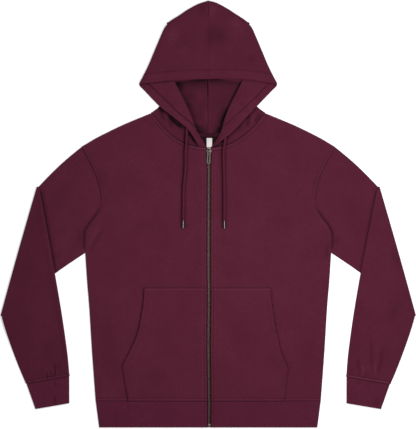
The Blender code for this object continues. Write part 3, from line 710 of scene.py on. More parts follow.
def frontSeams(name, side):
    # the seams' tones paint shade at edges and grooves, and highlight on ridges
    groove, ridge, dark = cut["neckLines"][name]
    collar = mirrored([(5, 145), (28, 148.3), (50, 154)], side)
    armhole = sideRun(cut["armhole"], side)[:34]  # down to where the cloth folds over the sleeve
    mouth = sideRun(pocket["opening"][name], side, 40)
    return {
        "neck": dict(path=sideRun(cut["neckFront"][name], side), side=-side, band=(0.6, groove + 1, 0.6, 0),
                     lines=[(2.0, 1.2, 0.3, ridge), (groove, 1.1, -0.6, dark)], edge=(0.6, 1.0, -0.4),
                     wave=9.0, stitches=[groove]),
        "collar": dict(path=collar, side=-side, fade=14.0, lines=[(2.2, 1.2, 0.1, 0.3)]),
        "zip": zipSeam(side, cut["neckFrontY"] + 5, cut["hemSeamY"] - 5, 0.0),
        "armhole": dict(path=armhole, side=-side, band=(0.4, 8.2, 0.6, 0), edge=(0.6, 1.0, -0.5), fade=40.0,
                        lines=[(2.8, 1.2, 0.3, 0.35), (5.2, 1.0, -0.4, -0.35), (7.0, 0.9, 0.2, 0.08)],
                        stitches=[3.0, 6.4]),
        "hem": hemSeam(side),
        "mouth": dict(path=mouth, side=side, lines=[(0.9, 1.4, -0.4, -0.45)]),
        "shoulder": dict(path=mirrored(cut["shoulder"], side), side=-side, edge=(0, 1.4, 0.5)),
    }


def cordPress(name):
    # the cord and its tip dent the cloth and shade it, more on their left
    route = [(x - 0.9, y) for x, y in drawstring["route"][name]]
    x, y = route[-1]
    return crease(-0.3, 4.8, *route, (x, y - drawstring["agletLength"]), tone=-1.05, fade=0.02)


def makeFront(name, side):
    hemShares = gradedShares(cut["side"][-1][0] - cut["zipEdge"], 15, 10)
    net, down = panelNet(cut["zipEdge"], cut["neckFront"][name], cut["neckSteps"], hemShares, cloth["coarse"])
    net = alongZip(net, side) * [side, 1]
    x, y = net[..., 0], net[..., 1]
    seams = frontSeams(name, side).values()
    bump, bumpTone, seam, seamTone = relief(frontCreases[name], seams, x, y, 0.30)
    pressed, pressedTone = creaseRelief([cordPress(name)], x, y)
    pressed -= 0.8 * ease(1.4 - np.hypot(x - zipX(y), y - zipper["sliderY"] - 2) / 12)
    z = frontHeight(x, hemShares[None], down[:, None]) + bump * fadeEnds(hemShares, 0.06) + seam + pressed
    distance, share, _ = nearLine(sideRun(cut["armhole"], side)[30:], x, y)
    away = np.abs(distance)
    z += fadeEnds(share, 0.25, 0.2) * (1.4 * bell(away - 7, 7) - 0.7 * np.exp(-away / 1.6))
    grid = (atHeight(net, z), bumpTone + seamTone + pressedTone)
    piece = makeCloth(f"front{name}", f"front_{name.lower()}", "fleece", grid, facesUp=False)
    return piece


def makeBack():
    hemShares = gradedShares(cut["side"][-1][0], 0, 8, 5.0)
    half, _ = panelNet(0, cut["neckBack"], np.linspace(0, 1, 7), hemShares, 5.0)
    net = np.concatenate([half[:, :0:-1] * [-1, 1], half], axis=1)
    neck = sideRun(cut["neckBack"], -1)[::-1] + smoothRun(cut["neckBack"])[1:]
    shade = dict(path=neck, side=-1, band=(-3, 26, 0.1, -0.85), soft=8.0)
    seam, tone = seamRelief([shade], net[..., 0], net[..., 1])
    piece = makeCloth("backPanel", "back", "fleece", (atHeight(net, levels[0] + seam), tone), facesUp=True)
    return piece


# hem band

def makeHemBand():
    wall = cloth["bandWall"]
    lift = wall + cut["gap"]  # from the back layer to the front one
    down = gradedShares(cut["hemSeamY"] - cut["hemY"], 8, 5, 2.5)
    halves = cut["side"][-1][0] - cut["hemTaper"] * down[:, None] - (lift + wall) / 2
    y = mix(cut["hemSeamY"] - cut["butt"], cut["hemY"], down)[:, None]
    x = mix(cut["zipEdge"], halves, gradedShares(cut["side"][-1][0], 15, 8, 3.0)[None])
    rise = (cut["tapeRise"] - cut["gap"]) * ease((cut["riseFrom"] - x) / cut["riseLength"])
    front = np.stack([x, y + 0 * x, wall / 2 + lift + rise], axis=2)
    x = halves * np.linspace(1, -1, 91)
    back = np.stack([x, y + 0 * x, np.full(x.shape, wall / 2)], axis=2)
    out = np.tile([1.0, 0, 0], (len(y), 1))
    halfNets, halfTones = [], []
    for side, end in ((1, 0), (-1, -1)):
        seamPath = [(0, cut["hemSeamY"]), (side * 260, cut["hemSeamY"])]
        hem = dict(path=seamPath, side=-side, edge=(0.6, 1.0, -0.45), lines=[(3.0, 1.3, 0.2, 0.1)], wave=7.0)
        seams = [hem, zipSeam(side, cut["hemSeamY"] + 5, cut["hemY"] - 5)]
        half = alongZip(front.copy(), side) * [side, 1, 1]
        x, y = half[..., 0], half[..., 1]
        seam, tone = seamRelief(seams, x, y)
        half[..., 2] += seam + unevenness(x, y, 0.22) * ease((halves - np.abs(x)) / 20)
        fold = roundFold(half[:, -1], back[:, end], side * out)
        halfNets.append(np.concatenate([half, fold], axis=1)[:, ::side])
        halfTones.append(np.concatenate([tone + cut["hemTone"], np.zeros(fold.shape[:2])], axis=1)[:, ::side])
    net = np.concatenate([halfNets[0], back, halfNets[1]], axis=1)
    tone = np.concatenate([halfTones[0], np.zeros(back.shape[:2]), halfTones[1]], axis=1)
    piece = makeCloth("hemBand", "hem_band", "rib", (net, tone), facesUp=False)
    return piece


# sleeves and cuffs

sleeve = {
    "elbow": {"top": (376.6, 60.8), "bottom": (456.9, -223.8), "bow": 0.8},
    "cuffSeam": {
        "Left": {"inner": (305.0, -356.4), "outer": (400.2, -372.7)},
        "Right": {"inner": (303.6, -358.0), "outer": (399.8, -374.3)},
    },
    "cuffEnd": {
        "Left": {"inner": (304.9, -415.8), "outer": (380.4, -428.8)},
        "Right": {"inner": (303.4, -415.8), "outer": (380.4, -428.8)},
    },
    "bulge": {"overArm": 4.0, "underArm": 6.0, "outer": 4.0},
    "innerBulge": {"Left": (-2.7, -3.4), "Right": (-4.2, -3.6)},
    "puff": 1.8,
    "forearmPuff": 2.2,
    # painted shade that makes the left forearm a little darker
    "forearmShade": {"Left": -0.07, "Right": 0.0},
    "forearmLift": 4.0,
    "edgeRoll": 2.4,  # how much thicker the turned inner edge of the forearm is
    "edgeShade": {"Left": (4.6, -0.75), "Right": (3.2, -0.5)},  # width and tone of the painted shade beside that edge
    "underShade": {"Left": -1.0, "Right": -0.5},
    # painted highlight on the ridge of each cuff seam
    "cuffRidgeHighlight": {"Left": 0.25, "Right": 0.45},
    "dropLength": 90.0,
    "foldSteps": 14,
    "capLength": 270,  # flat, from shoulder to underarm
    "elbowLength": 295,
    "upperLength": 190,  # from armhole to elbow, and on from the elbow to the cuff
    "foreLength": 330,
    "columns": 84,
    "cuffColumns": 56,
}
upperArmCreases = {
    "Left": [
        crease(-0.9, 16.0, (-300, 90), (-330, 40), (-345, -20), fade=0.5),
        crease(-1.3, 9.0, (-280, -20), (-284, -60), (-282, -84), fade=0.5),
        crease(-0.8, 9.0, (-318, -80), (-345, -100), (-372, -122), fade=0.5),
    ],
    "Right": [
        crease(-1.1, 7.0, (283, 140), (300, 122), (322, 98), fade=0.45),
        crease(-1.6, 6.0, (277, -48), (281, -58), (283, -70)),
        crease(-0.6, 18.0, (300, 60), (318, 0), (322, -60), fade=0.5),
    ],
}
forearmCreases = {
    "Left": [
        crease(-2.6, 3.2, (-337.5, -326), (-338.2, -345), (-339.0, -361), fade=0.25),
        crease(-1.9, 3.2, (-357, -349), (-353, -364), fade=0.25),
        crease(-1.9, 3.0, (-347.5, -344), (-344.5, -362), fade=0.25),
        crease(-0.9, 3.4, (-327.5, -318), (-329.5, -357), fade=0.3),
        crease(0.9, 2.6, (-342.5, -340), (-341.8, -360), fade=0.3),
        crease(0.9, 2.6, (-332.8, -342), (-333.4, -360), fade=0.3),
        crease(-0.7, 3.4, (-370, -344), (-366, -366), fade=0.3),
        crease(-0.6, 3.0, (-314, -345), (-315, -356), fade=0.3),
        crease(-0.5, 9.0, (-349, -268), (-356, -304), (-352, -330), fade=0.5),
        crease(-0.5, 12.0, (-430, -215), (-404, -226), (-382, -220), fade=0.5),
        crease(-0.5, 15.0, (-412, -60), (-398, -110), (-396, -160), fade=0.5),
    ],
    "Right": [
        crease(-2.8, 3.2, (328.5, -316), (330.5, -338), (332.8, -359), fade=0.3),
        crease(-1.4, 4.0, (356.5, -256), (359, -306), (361.5, -361), fade=0.4),
        crease(-1.8, 4.4, (384, -286), (379, -325), (373, -361), fade=0.3),
        crease(0.9, 4.0, (338.5, -330), (341, -360), fade=0.3),
        crease(1.1, 4.0, (366.5, -320), (368, -362), fade=0.3),
        crease(-0.9, 7.0, (397, -268), (391, -306), (385, -345), fade=0.5),
        crease(-0.7, 3.2, (316, -332), (317.5, -356), fade=0.3),
        crease(-0.7, 2.8, (347, -342), (348.5, -359), fade=0.3),
        crease(-1.3, 12.0, (426, -196), (408, -216), (396, -246), fade=0.5),
        crease(-0.8, 8.0, (404, -62), (412, -100), (424, -134), fade=0.5),
    ],
}


def underarmDistance(points):
    start, end = np.array(cut["armhole"][-1]), np.array(sleeve["elbow"]["bottom"])
    run = (end - start) / np.linalg.norm(end - start)
    offset = points[..., :2] - start
    return offset[..., 0] * run[1] - offset[..., 1] * run[0]


def insetEnds(net):
    # both ends of each row drawn in, to leave room for the round folds
    run = net[:, -1] - net[:, 0]
    run = run / np.linalg.norm(run, axis=1, keepdims=True)
    s = np.linspace(0, 1, net.shape[1])[None, :, None]
    return net + run[:, None] * foldInset * (1 - 2 * s), run


def ringOf(front, back, run, frontTone=0, backTone=0):
    # a flattened tube of two layers and its two folds, and the tone of its points
    out = np.concatenate([run, np.zeros((len(run), 1))], axis=1)
    far = roundFold(front[:, -1], back[:, -1], out)
    near = roundFold(back[:, 0], front[:, 0], -out)
    ring = np.concatenate([front, far, back[:, ::-1], near, front[:, :1]], axis=1)
    plain = np.zeros(front.shape[:2])
    fold = np.zeros(far.shape[:2])
    frontTone, backTone = plain + frontTone, plain + backTone
    return ring, np.concatenate([frontTone, fold, backTone[:, ::-1], fold, frontTone[:, :1]], axis=1)


def elbowAxis():
    top, bottom = np.array(sleeve["elbow"]["top"]), np.array(sleeve["elbow"]["bottom"])
    run = (bottom - top) / np.linalg.norm(bottom - top)
    out = np.array([-run[1], run[0]])
    z = levels[1] + cloth["layer"] / 2
    return top - out * z, bottom - out * z, out, z


def innerBulge(name, f):
    # how far the forearm's inner edge bows towards the body, from the elbow to the cuff
    start, more = sleeve["innerBulge"][name]
    return (start + more * f) * np.clip(np.sin(math.pi * f), 0, 1) ** 0.8


def cuffLine(name, side):
    return mirrored(sleeve["cuffSeam"][name].values(), side)


def makeSleeve(name, side):
    top, bottom, out, axisZ = elbowAxis()
    s = np.linspace(0, 1, sleeve["columns"])
    cuffSeam = sleeve["cuffSeam"][name]

    def foldLine(shares):
        bow = sleeve["elbow"]["bow"] * np.sin(math.pi * shares)
        return straight(top, bottom, shares) + out * bow[:, None]

    # upper arm, from the armhole to the elbow
    inset = foldInset / sleeve["capLength"]
    cap = curveAt(cut["armhole"], mix(inset, 1 - inset, s)) + [cut["butt"], 0]
    around = lengthShares(cap)
    inset = foldInset / sleeve["elbowLength"]
    elbow = foldLine(mix(inset, 1 - inset, around))
    f = gradedShares(sleeve["upperLength"], 9, 0)[:, None]
    upper = mix(cap[None], elbow[None], f[..., None])
    bulge = mix(sleeve["bulge"]["overArm"], sleeve["bulge"]["underArm"], around)
    upper[..., 1] += bulge * np.sin(math.pi * f)
    upperRun = upper[:, -1] - upper[:, 0]
    upperRun /= np.linalg.norm(upperRun, axis=1, keepdims=True)
    x, y = upper[..., 0] * side, upper[..., 1]
    armhole = sideRun(cut["armhole"], side)
    seam = dict(path=armhole[:34], side=side, edge=(0.8, 1.3, sleeve["underShade"][name]), fade=20.0)
    bump, bumpTone, seam, seamTone = relief(upperArmCreases[name], [seam], x, y, 0.28)
    calm = fadeEnds(s, 0.1) * fadeEnds(f, 0.08, 0.15)
    puff = sleeve["puff"] * 6.75 * f * (1 - f) ** 2
    z = levels[1] + puff * 4 * s * (1 - s) + seam + bump * calm
    # the sleeve dips under the front's fold, and painted shade darkens it there
    distance, share, _ = nearLine(armhole[30:], x, y)
    over = fadeEnds(share, 0.3, 0.15)
    z -= over * 0.8 * bell(distance, 6)
    tone = bumpTone * calm + seamTone - over * 0.7 * bell(distance, 5)
    t = np.linspace(0, 1, 40)
    foreEdge = straight(top, cuffSeam["inner"], t)
    foreEdge[:, 0] += innerBulge(name, t)
    distance, share, _ = nearLine(foreEdge * [side, 1], x, y)
    reach, shade = sleeve["edgeShade"][name]
    valley = bell(np.clip(-distance * side, 0, None), reach * (1.4 - share))
    z -= 0.8 * valley * calm
    tone += shade * valley * ease(share / 0.04)
    upperRing, upperTone = ringOf(atHeight(upper, z), atHeight(upper, levels[0]), upperRun, tone)

    # the turn at the elbow
    reach = axisZ - upperRing[-1, :, 2]
    turned = []
    for k in range(1, sleeve["foldSteps"]):
        angle = math.pi * k / sleeve["foldSteps"]
        flat = upperRing[-1, :, :2] + out * (reach * math.sin(angle))[:, None]
        turned.append(atHeight(flat, axisZ - reach * math.cos(angle)))

    # forearm, back from the elbow to the cuff, lying on the upper arm
    f = gradedShares(sleeve["foreLength"], 0, 16)[:, None]
    seamLine = straight(cuffSeam["inner"], cuffSeam["outer"], s)
    fore = mix(foldLine(s)[None], seamLine[None], f[..., None])
    fore[..., 0] += mix(innerBulge(name, f), sleeve["bulge"]["outer"] * np.sin(math.pi * f) ** 0.6, s)
    fore, foreRun = insetEnds(fore)
    onArm = 1 - ease(underarmDistance(fore) / sleeve["dropLength"])
    lift = sleeve["forearmLift"] * np.sin(math.pi * np.minimum(1.6 * f, 1)) * (1 - s)
    low = levels[0] + 2 * cloth["layer"] * onArm + lift
    roll = sleeve["edgeRoll"] * fadeEnds(f, 0.15, 0.12) * bell(s, 0.07)
    puff = sleeve["forearmPuff"] * np.sin(math.pi * f) * 4 * s * (1 - s)
    x, y = fore[..., 0] * side, fore[..., 1]
    seam = dict(path=cuffLine(name, side), side=side, band=(0.3, 5.4, 0.7, 0), edge=(0.5, 0.8, -0.3),
                lines=[(2.4, 1.3, 0.4, sleeve["cuffRidgeHighlight"][name]), (6.0, 1.0, -0.3, -0.4)],
                pucker=0.6, wave=9.0)
    bump, bumpTone, seam, seamTone = relief(forearmCreases[name], [seam], x, y, 0.28)
    calm = fadeEnds(s, 0.08)
    gathers = 0.35 * ripple(x, 11.0) * ease((f - 0.86) / 0.12) * calm
    high = low + cloth["layer"] + puff + roll + seam + (bump + gathers) * calm * ease(f / 0.06)
    tone = bumpTone * calm + seamTone + sleeve["forearmShade"][name]
    foreRing, foreTone = ringOf(atHeight(fore, low), atHeight(fore, high), foreRun, 0, tone)

    net = np.concatenate([upperRing, turned, foreRing]) * [side, 1, 1]
    tone = np.concatenate([upperTone, np.zeros((len(turned), net.shape[1])), foreTone])
    piece = makeCloth(f"sleeve{name}", f"sleeve_{name.lower()}", "fleece", (net, tone), merge=0.001)
    return piece


cuffCreases = {
    "Left": [
        crease(-1.6, 3.0, (-337.2, -366), (-337.4, -384), fade=0.3),
        crease(-1.9, 3.2, (-338.6, -398), (-338.0, -423), fade=0.3),
        crease(-0.5, 4.0, (-352, -372), (-353, -390)),
    ],
    "Right": [
        crease(-1.5, 4.0, (372, -400), (371, -426), fade=0.3),
        crease(-1.1, 3.5, (332, -362), (333, -380)),
        crease(-0.5, 5.0, (352, -368), (354, -392)),
    ],
}


def makeCuff(name, side):
    s = np.linspace(0, 1, sleeve["cuffColumns"])
    seamEnds, cuffEnds = sleeve["cuffSeam"][name], sleeve["cuffEnd"][name]
    f = gradedShares(seamEnds["inner"][1] - cuffEnds["inner"][1], 7, 4, 2.2)
    inner, outer = (straight(seamEnds[edge], cuffEnds[edge], f) for edge in ("inner", "outer"))
    run = (outer - inner) / np.linalg.norm(outer - inner, axis=1, keepdims=True)
    down = np.stack([np.zeros(len(f)), -cut["butt"] * (1 - f)], axis=1)
    net = mix((inner + run * 0.8 + down)[:, None], (outer - run * 0.8 + down)[:, None], s[None, :, None])
    net, run = insetEnds(net)
    low = cloth["bandWall"] / 2
    seam = dict(path=cuffLine(name, side), side=-side, edge=(1.0, 1.4, -0.9), wave=7.0,
                lines=[(3.6, 1.4, 0.2, 0.05)])
    bump, bumpTone, seam, seamTone = relief(cuffCreases[name], [seam], net[..., 0] * side, net[..., 1], 0.2)
    high = low + cloth["bandWall"] + cut["gap"] + seam + 0.9 * np.sin(math.pi * s) + bump * fadeEnds(s, 0.08)
    ring, tone = ringOf(atHeight(net, low), atHeight(net, high), run, 0, bumpTone + seamTone)
    piece = makeCloth(f"cuff{name}", f"cuff_{name.lower()}", "rib", (ring * [side, 1, 1], tone), merge=0.001)
    return piece


# hood

hood = {
    "crown": [(0, 468.6), (20, 462.6), (44, 449.0), (64, 435.2), (81, 424.0), (88.7, 416.9)],
    "outline": [
        (88.7, 416.9), (93.4, 412.9), (96.7, 408.2), (98.9, 403.8), (100.9, 399.4), (109.9, 378.4), (121, 352),
        (132.1, 325.6), (145.2, 299.2), (150.2, 290), (151.9, 285.2),
    ],
    "flapEdge": {
        "Left": [(151.9, 285.2), (150.2, 280.9), (141.9, 272.6), (107, 236.5), (82.3, 217), (64.3, 202.7),
                 (55.1, 194.8), (46, 187.6), (38, 177), (31, 165.5), (24.5, 155), (21.5, 149.5)],
        "Right": [(151.9, 285.2), (150.2, 280.9), (141.9, 272.6), (107, 236.5), (84.8, 213), (71.6, 198.4),
                  (58.4, 184.4), (45, 172.8), (32, 163), (20, 153.5), (9.5, 147)],
    },
    "casingLine": {
        "Left": [(141.7, 294.5), (110, 265), (79, 234.3), (65.9, 222.2), (52.7, 211.2), (39.5, 199.1),
                 (32, 191.5)],
        "Right": [(141.7, 294.5), (118, 270), (92.5, 244.4), (63.9, 218.9), (34, 192.2)],
    },
    "innerAbove": [(78, 422), (80, 380), (78, 335), (74, 292)],
    "inner": {
        "Left": [(74, 292), (60.4, 264.9), (45, 234), (34, 207), (26.5, 185), (17, 169), (10.5, 158.5),
                 (5.0, 146)],
        "Right": [(74, 292), (60, 264.9), (44.5, 233.2), (34.4, 206), (28.6, 184), (17, 162), (5.0, 145.6)],
    },
    "outerAbove": [(90, 414), (97, 402), (118, 350), (125, 322), (122, 290)],
    "outer": [(122, 290), (110, 264), (105, 246), (108, 236), (125, 222.4)],
    "crownSag": 2.6,
    "brimBow": {"Left": 2.8, "Right": 5.2},
    "brimRise": 3.2,  # the crown's front edge stands off what lies under it
    "lift": {
        "along": [0, 0.12, 0.25, 0.5, 0.75, 0.875, 1],
        "freeEdge": [0, 2.5, 4.5, 7.5, 9.0, 8.2, 0.6],
        "innerFold": [3.0, 6.0, 6.5, 6.5, 6.0, 4.0, 0],
    },
    "middleLift": 0.45,
    "brimHem": 20.0,
    "casing": 16.0,
    "upperLength": 172,  # down the middle, above the brim and below it
    "lowerLength": 210,
}
hoodShade = {  # painted shade: width and tone beside each fold, and the tone of whole layers; the seam lines paint highlight and shade on the lining's seam
    "Left": {"fold": (10, -0.4), "brim": (15, -0.5), "edge": (4, -0.8), "collar": -0.16, "lining": -0.24,
             "casing": -0.75, "onFlap": (2.6, -0.7), "seam": [(0.6, 0.8, -0.4, -0.6), (4.2, 1.8, 0.3, 0.1)]},
    "Right": {"fold": (4.2, -0.65), "brim": (12, -0.45), "edge": (3.4, -0.7), "collar": -0.1, "lining": -0.2,
              "casing": -0.5, "onFlap": (2.4, -0.35), "seam": [(2.4, 1.4, 0.2, 0.05)]},
}
# the given tones paint shade left of the crown seam and in its groove
crownCreases = [
    crease(1.6, 12.0, (6, 474), (5, 452), (4, 424), fade=0.6),
    crease(-0.8, 9.0, (-11, 478), (-11, 452), (-8, 424), tone=-0.25, fade=0.4),
    crease(-0.5, 1.4, (0.6, 466), (0.6, 446), (0.2, 428), tone=-0.5, fade=0.3),
    crease(-1.8, 15.0, (-10, 408), (24, 392), (46, 366), fade=0.5),
    crease(-1.2, 9.0, (0, 424), (2, 392), (0, 352), fade=0.5),
    crease(-1.2, 16.0, (-70, 400), (-44, 372), (-18, 362), fade=0.5),
    crease(-1.2, 8.0, (86, 328), (93, 342), (97, 358), fade=0.5),
    crease(0.9, 12.0, (-66, 346), (-50, 366), (-30, 380), fade=0.5),
    crease(1.3, 13.0, (40, 440), (62, 418), (76, 392), fade=0.5),
    crease(1.0, 13.0, (-60, 425), (-78, 392), (-86, 360), fade=0.5),
]
flapCreases = [
    crease(-0.8, 4.0, (104, 262), (112, 252), (124, 250)),
    crease(-0.7, 5.0, (70, 250), (80, 236), (86, 222)),
    crease(-0.7, 7.0, (-110, 274), (-84, 250), (-66, 226), fade=0.5),
    crease(-0.7, 6.0, (62, 282), (60, 262), (52, 246), fade=0.5),
    crease(0.8, 5.0, (-50, 210), (-44, 198), (-32, 178), fade=0.5),
]
# the given tones paint the shadow under the flap's free edge, in creases and beside the cords
collarCreases = [
    crease(-2.0, 4.0, (-108, 226), (-99, 214), (-93, 203), tone=-0.4, skew=0.6),
    crease(-1.6, 4.5, (-93, 214), (-84, 202), (-75, 189), tone=-0.4, skew=0.6),
    crease(-1.0, 4.6, (-111, 237), (-104, 229), (-97, 219), tone=-0.7, fade=0.4),
    crease(1.2, 4.0, (-100, 219), (-91, 207), (-84, 197)),
    crease(-2.4, 3.4, (-44, 187), (-37, 173), (-28, 157), tone=-1.0, fade=0.15),
    crease(-1.2, 3.0, (-92, 220), (-84.5, 212), (-72, 200), (-59, 190), (-52, 186), tone=-1.1, fade=0.3),
    crease(-1.0, 3.2, (42, 170), (34, 164), (27, 157), tone=-1.1, fade=0.3),
    crease(-1.9, 3.6, (91.5, 225), (88.5, 207), (85.3, 187), tone=-0.5, skew=0.6),
    crease(-0.9, 2.4, (116, 226), (108, 213), (99.5, 200.5), tone=-0.5, fade=0.3),
    crease(1.0, 4.0, (100, 222), (97, 208), (92, 196)),
    crease(-1.5, 3.6, (115, 222), (110, 213), (104, 205)),
    crease(-1.2, 4.0, (72, 200), (70, 190), (67, 179)),
]
# the given tones paint shade in the hood's hollow, beside the folds, under the brim and in its corner, and
# highlight on one ridge
liningCreases = [
    crease(-1.2, 6.0, (-52, 246), (-42, 238), (-33, 232)),
    crease(-1.6, 5.0, (-38, 204), (-26, 195), (-9, 190), skew=0.6),
    crease(1.0, 5.0, (-34, 212), (-22, 203), (-8, 199)),
    crease(0.9, 6.0, (-5, 236), (-5, 212), (-6, 190), tone=0.15, fade=0.5),
    crease(-1.5, 6.0, (38, 222), (31, 206), (24, 192)),
    crease(-0.9, 9.0, (48, 268), (34, 248), (28, 228), fade=0.5),
    crease(-1.0, 10.0, (-54, 282), (-40, 262), (-34, 240), fade=0.5),
    crease(0.8, 8.0, (-16, 288), (-19, 262), (-15, 244), fade=0.5),
    crease(-0.2, 1.5, (-1.2, 300), (-1.2, 280), (-1.0, 250), tone=-0.6, fade=0.4),
    crease(-0.4, 10.0, (-34, 182), (-16, 181), (-1, 182), tone=-0.35, fade=0.1),
    crease(-0.3, 8.0, (-60, 298), (-61, 284), (-54, 268), tone=-0.15, fade=0.3),
    crease(-0.4, 11.0, (42, 240), (35, 212), (28, 192), (20, 172), tone=-0.45, fade=0.25),
    crease(-0.3, 9.0, (30, 190), (22, 178), (12, 172), tone=-0.5, fade=0.2),
]


def brimPath(name):
    x = np.linspace(0, 1, 24)
    tip = np.array(hood["outline"][-1])
    line = straight((0, cut["brimY"]), tip, x)
    line[:, 1] += hood["brimBow"][name] * np.sin(math.pi * x)
    return mirrored(line, sides[name])


def stackedColumns(above, below, rowsAbove, rowsBelow):
    return np.concatenate([curveAt(above, rowsAbove), curveAt(below, rowsBelow)[1:]])


def makeHoodHalf(name, side):
    upper = gradedShares(hood["upperLength"], 4, 24)
    lower = gradedShares(hood["lowerLength"], 0, 10)
    down = upper * hood["upperLength"]
    u = len(upper) - 1
    total = u + len(lower)
    shade = hoodShade[name]
    flapEdge, innerFold = hood["flapEdge"][name], hood["inner"][name]
    neckLine = cut["neckFront"][name]

    # the columns where the layers turn, from the crown over the brim's end to the neck
    outline = stackedColumns(hood["outline"], flapEdge, upper, lower)
    inner = stackedColumns(hood["innerAbove"], innerFold, upper, lower)
    outer = stackedColumns(hood["outerAbove"], hood["outer"], upper, lower)
    row = np.arange(total)
    halfway = bell(row, 2.0) + bell(row - u, 2.0) + bell(row - total + 1, 2.0)
    outline[:, 0] -= foldInset * (1 - 0.5 * halfway) * (row <= u)
    ends = ease((total - 1 - row) / 3)
    share = np.maximum(row - u, 0) / (total - 1 - u)
    lifts = []
    for edge in ("freeEdge", "innerFold"):
        values = np.interp(share, hood["lift"]["along"], hood["lift"][edge])
        values[:u] *= ease((down[:-1] - 125) / 45)
        lifts.append(smoothed(values, 11)[:, None])
    freeLift, foldLift = lifts
    outer[:, 0] -= foldInset * ends
    inner[:, 0] += (foldInset + foldLift[:, 0] * (1 - hood["middleLift"]) / 2) * ends
    row, share = row[:, None], share[:, None]
    centre = np.concatenate([
        straight((0, hood["crown"][0][1]), (0, cut["brimY"]), upper),
        straight((0, cut["brimY"]), (0, cut["neckBack"][0][1] + cut["gap"]), lower)[1:],
    ])

    # a flat net for each layer
    topShares = gradedShares(118, 7, 4, 2.6)
    topReach = (levels[3] - hood["crownSag"] - levels[0]) / 2 + cloth["wall"] / 2
    crownTop = curveAt(hood["crown"], topShares)
    slope = np.gradient(crownTop, axis=0)
    slope /= np.linalg.norm(slope, axis=1, keepdims=True)
    topOut = np.stack([-slope[:, 1], slope[:, 0]], axis=1)
    topOut[0] = (0, 1)
    crownTop -= topOut * topReach * ease((1 - topShares) / 0.08)[:, None]
    crownTop[-1] = outline[0]
    brim = straight((0, cut["brimY"]), outline[u], topShares)
    brim[1:-1, 1] += hood["brimBow"][name] * np.sin(math.pi * brim[1:-1, 0] / outline[u, 0])
    centre[0] = crownTop[0]
    crown = fillPatch(crownTop, outline[: u + 1], brim, centre[: u + 1])
    c = gradedShares(80, 3, 3, 1.9)
    flapTop, flapFoot = (straight(outline[k], inner[k], c) for k in (0, -1))
    flap = alongZip(fillPatch(flapTop, inner, flapFoot, outline), side)
    neckShares = np.interp(np.linspace(0, 6, 30), range(7), cut["neckSteps"])
    neck = curveAt(neckLine, neckShares) + [0, cut["neckGap"]]
    neck[0], outer[-1] = inner[-1], neck[-1]
    middle = alongZip(fillPatch(straight(inner[0], outer[0], neckShares), outer, neck, inner), side)
    backNeck = curveAt(cut["neckBack"], topShares)[::-1] + [0, cut["neckGap"]]
    backNeck[0], centre[-1] = outer[-1], backNeck[-1]
    topBack = crownTop[::-1].copy()
    topBack[0] = outer[0]
    bottom = fillPatch(topBack, centre, backNeck, outer)

    def surface(net, creases, seams, hills):
        bump, bumpTone, seam, seamTone = relief(creases, seams, net[..., 0] * side, net[..., 1], hills)
        return bump + seam, bumpTone + seamTone

    # crown
    brimLine = brimPath(name)
    brimSeam = dict(path=brimLine, side=side, band=(-2, hood["brimHem"], 0.8, 0.03), soft=2.0, pucker=0.15,
                    lines=[(hood["brimHem"] - 0.5, 1.0, -0.4, -0.25)], edge=(0.5, 2.0, -0.2))
    crownSeam = dict(path=[(0, 490), (0, 296)], side=side, lines=[(0.2, 1.0, -0.1, -0.03)], fade=40.0)
    x = crown[..., 0]
    sag = hood["crownSag"] * (1 - ease(x / inner[: u + 1, :1]))
    bump, crownTone = surface(crown, crownCreases, [brimSeam, crownSeam], 0.32)
    rise = hood["brimRise"] * ease((down - 110) / 55)[:, None]
    z = levels[3] - sag + (bump + 0.9 + rise) * ease((outline[: u + 1, :1] - x) / 8)
    z -= 0.7 * (1 - ease((down[-1] - down) / 2.5)[:, None])
    crownRows = atHeight(crown, z)

    # flap
    casing = dict(path=sideRun(flapEdge, side), side=-side, band=(0.8, hood["casing"], 0.9, 0), soft=3.0,
                  edge=(0.4, 1.3, -0.2), pucker=0.15)
    tunnel = dict(path=mirrored(hood["casingLine"][name], side), side=-side, pucker=0.15,
                  lines=[(0.3, 1.6, -0.5, shade["casing"]), (-2.6, 1.4, 0.1, 0.12)])
    creases = [*flapCreases, shadeAlong(brimLine, *shade["onFlap"])]
    bump, flapTone = surface(flap, creases, [casing, tunnel], 0.2)
    belly = 1.4 * np.sin(math.pi * c) * ease(share * 5) * ease((1 - share) * 4)
    shown = ease((row - u + 2) / 6)
    z = levels[2] + mix(freeLift, foldLift, c) + bump * fadeEnds(c, 0.06) * shown + belly
    flapRows = atHeight(flap, z)

    # collar
    m = np.linspace(0, 1, len(neckShares))
    edgeShade = shadeAlong(sideRun(flapEdge, side, 40), *shade["edge"])
    seamShade = shadeAlong(sideRun([(x, y + 1.2) for x, y in neckLine], side, 40), 1.5, -0.5)
    bump, middleTone = surface(middle, [*collarCreases, edgeShade, cordPress(name), seamShade], [], 0.25)
    middleTone += shade["collar"] * ease(share / 0.1)
    lifted = foldLift * hood["middleLift"] * (1 - ease(m * 2.5))
    z = mix(levels[1] + lifted, frontHeight(middle[..., 0]), share**3)
    z += bump * fadeEnds(m, 0.08) * ease((1 - share) / 0.06) - 0.6 * (1 - ease((1 - share) / 0.02))
    middleRows = atHeight(middle, z)

    # back layer
    centreSeam = dict(path=[(0, 300), (0, 165)], side=side, lines=shade["seam"])
    foldShade = shadeAlong(sideRun(innerFold, side, 40), *shade["fold"])
    brimShade = [shadeAlong(brimLine, *shade["brim"]), shadeAlong(brimLine, 3.0, -0.3)]
    bump, bottomTone = surface(bottom, [*liningCreases, foldShade, *brimShade], [centreSeam], 0.2)
    bottomTone = (bottomTone + shade["lining"]) * ease((row - u + 8) / 6)
    calm = ease((1 - topShares[::-1]) / 0.1) * ease((1 - share) / 0.05) * shown
    bottomRows = atHeight(bottom, levels[0] + np.maximum(bump, -0.3) * calm + 0.4 * calm)

